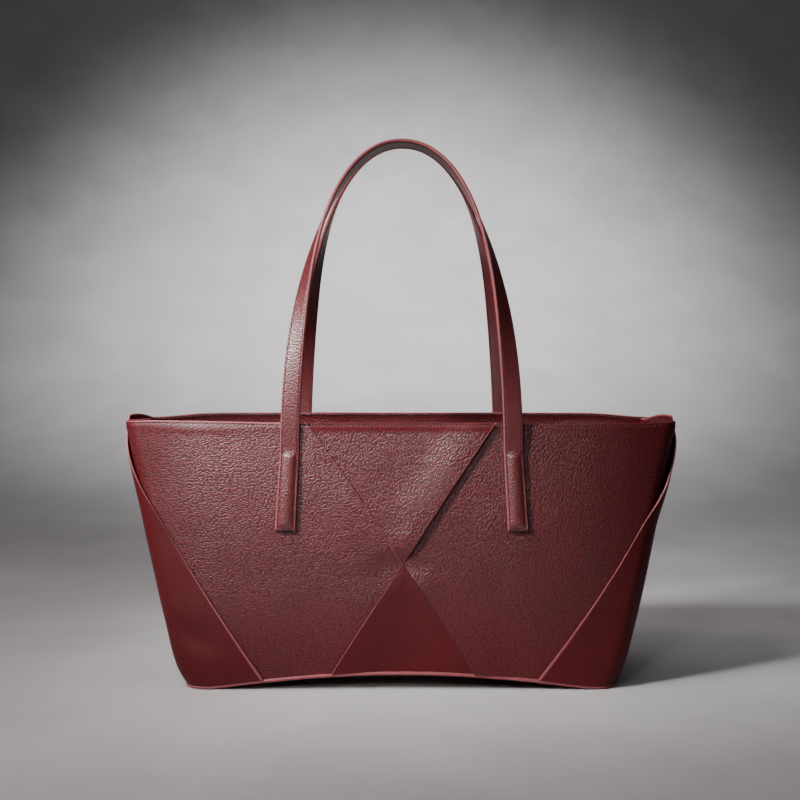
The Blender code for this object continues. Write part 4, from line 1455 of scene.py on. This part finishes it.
class TOTE_OT_inside(bpy.types.Operator):
    """Makes the rim facings, the patches behind the tabs and the linings"""

    bl_idname = "tote.inside"
    bl_label = "Inside"

    def execute(self, context):
        forms = both_forms(context)
        for face, form in forms.items():
            rim_facing(form, f"{face}_facing", f"{face}_rim_facing")
            face_lining(form, f"{face}_cloth", f"{face}_lining")
            for hand, sign in (("left", -1), ("right", 1)):
                node = f"{face}_{hand}_anchor_patch"
                anchor_patch(form, f"{face}_{hand}_patch", sign, node)
        side_lining(*forms.values(), "left_cloth", -1, "left_lining")
        side_lining(*forms.values(), "right_cloth", 1, "right_lining")
        return {"FINISHED"}


class TOTE_OT_base(bpy.types.Operator):
    """Makes the base, its welt and its lining"""

    bl_idname = "tote.base"
    bl_label = "Base"

    def execute(self, context):
        form = both_forms(context)["front"]
        shape = base_layer(form, BASE_LEATHER, 0)
        finishes = ("flap_leather", "edge_paint_and_highlight")
        sewn_sheet("base_leather", "base_panel", shape, BASE_LEATHER, finishes)
        shape = base_layer(form, LINING, BASE_LEATHER + BASE_BOARD + 2 * GAP)
        cloth = cloth_sheet("base_cloth", "base_lining", shape, LINING)
        half_length = form.half_width(form.welt_space) - GAP
        radius = form.size.welt_radius
        shape = closed_tube(welt_path(form, radius), radius, 12)
        finish_piece(
            "foot_welt", shape, ("edge_paint_and_highlight",), "bag_body", ("base_welt",)
        )
        return {"FINISHED"}


class TOTE_OT_handles(bpy.types.Operator):
    """Makes the two handles with their sewn tabs and stitches"""

    bl_idname = "tote.handles"
    bl_label = "Handles"

    def execute(self, context):
        for face, form in both_forms(context).items():
            strap, body = Strap(form), f"{face}_handle"
            nodes = [f"{body}_outer_strap", f"{body}_inner_strap"]
            for hand in ("left", "right"):
                nodes += [f"{face}_{hand}_strap_tab", f"{face}_{hand}_tab_filler"]
            bend_at_hinge(handle(strap, body, nodes))
            stitches = stitched_piece(f"{body}_stitches", strap_stitches(strap), None, form.size)
            bend_at_hinge(stitches)
        return {"FINISHED"}


class TOTE_OT_stitches(bpy.types.Operator):
    """Sews the rows of stitches along the rims"""

    bl_idname = "tote.stitches"
    bl_label = "Rim stitches"

    def execute(self, context):
        for face, form in both_forms(context).items():
            stitches = rim_stitches(form, False) + rim_stitches(form, True)
            stitched_piece(f"{face}_rim_stitches", stitches, "bag_body", form.size)
        return {"FINISHED"}


class TOTE_OT_hidden_layers(bpy.types.Operator):
    """Gives the board that stays hidden its finish"""

    bl_idname = "tote.hidden_layers"
    bl_label = "Hidden layers"

    def execute(self, context):
        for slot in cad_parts["base_board"].material_slots:
            slot.material = finish_named("grey_board")
        return {"FINISHED"}


class TOTE_PT_panel(bpy.types.Panel):
    """Lists the steps that build the bag"""

    bl_idname = "TOTE_PT_panel"
    bl_label = "Pleated tote"
    bl_space_type = "VIEW_3D"
    bl_region_type = "UI"
    bl_category = "Tote"

    def draw(self, context):
        for step in STEPS:
            self.layout.operator(step.bl_idname)
        scene = context.scene
        for group in (scene.tote_sizes, scene.tote_colours, scene.tote_stage):
            box = self.layout.box()
            for key in group.bl_rna.properties.keys():
                if key not in ("rna_type", "name"):
                    box.prop(group, key)


STEPS = (
    TOTE_OT_stage,
    TOTE_OT_faces,
    TOTE_OT_gussets,
    TOTE_OT_inside,
    TOTE_OT_base,
    TOTE_OT_handles,
    TOTE_OT_stitches,
    TOTE_OT_hidden_layers,
)
CLASSES = (ToteSizes, ToteColours, ToteStage, *STEPS, TOTE_PT_panel)
GROUPS = {"tote_sizes": ToteSizes, "tote_colours": ToteColours, "tote_stage": ToteStage}


def register():
    for cls in CLASSES:
        bpy.utils.register_class(cls)
    for name, group in GROUPS.items():
        setattr(bpy.types.Scene, name, PointerProperty(type=group))


def unregister():
    for name in GROUPS:
        delattr(bpy.types.Scene, name)
    for cls in reversed(CLASSES):
        bpy.utils.unregister_class(cls)


def main():
    register()
    bpy.ops.tote.stage()
    bpy.ops.tote.faces()
    bpy.ops.tote.gussets()
    bpy.ops.tote.inside()
    bpy.ops.tote.base()
    bpy.ops.tote.handles()
    bpy.ops.tote.stitches()
    bpy.ops.tote.hidden_layers()


if __name__ == "__main__":
    main()
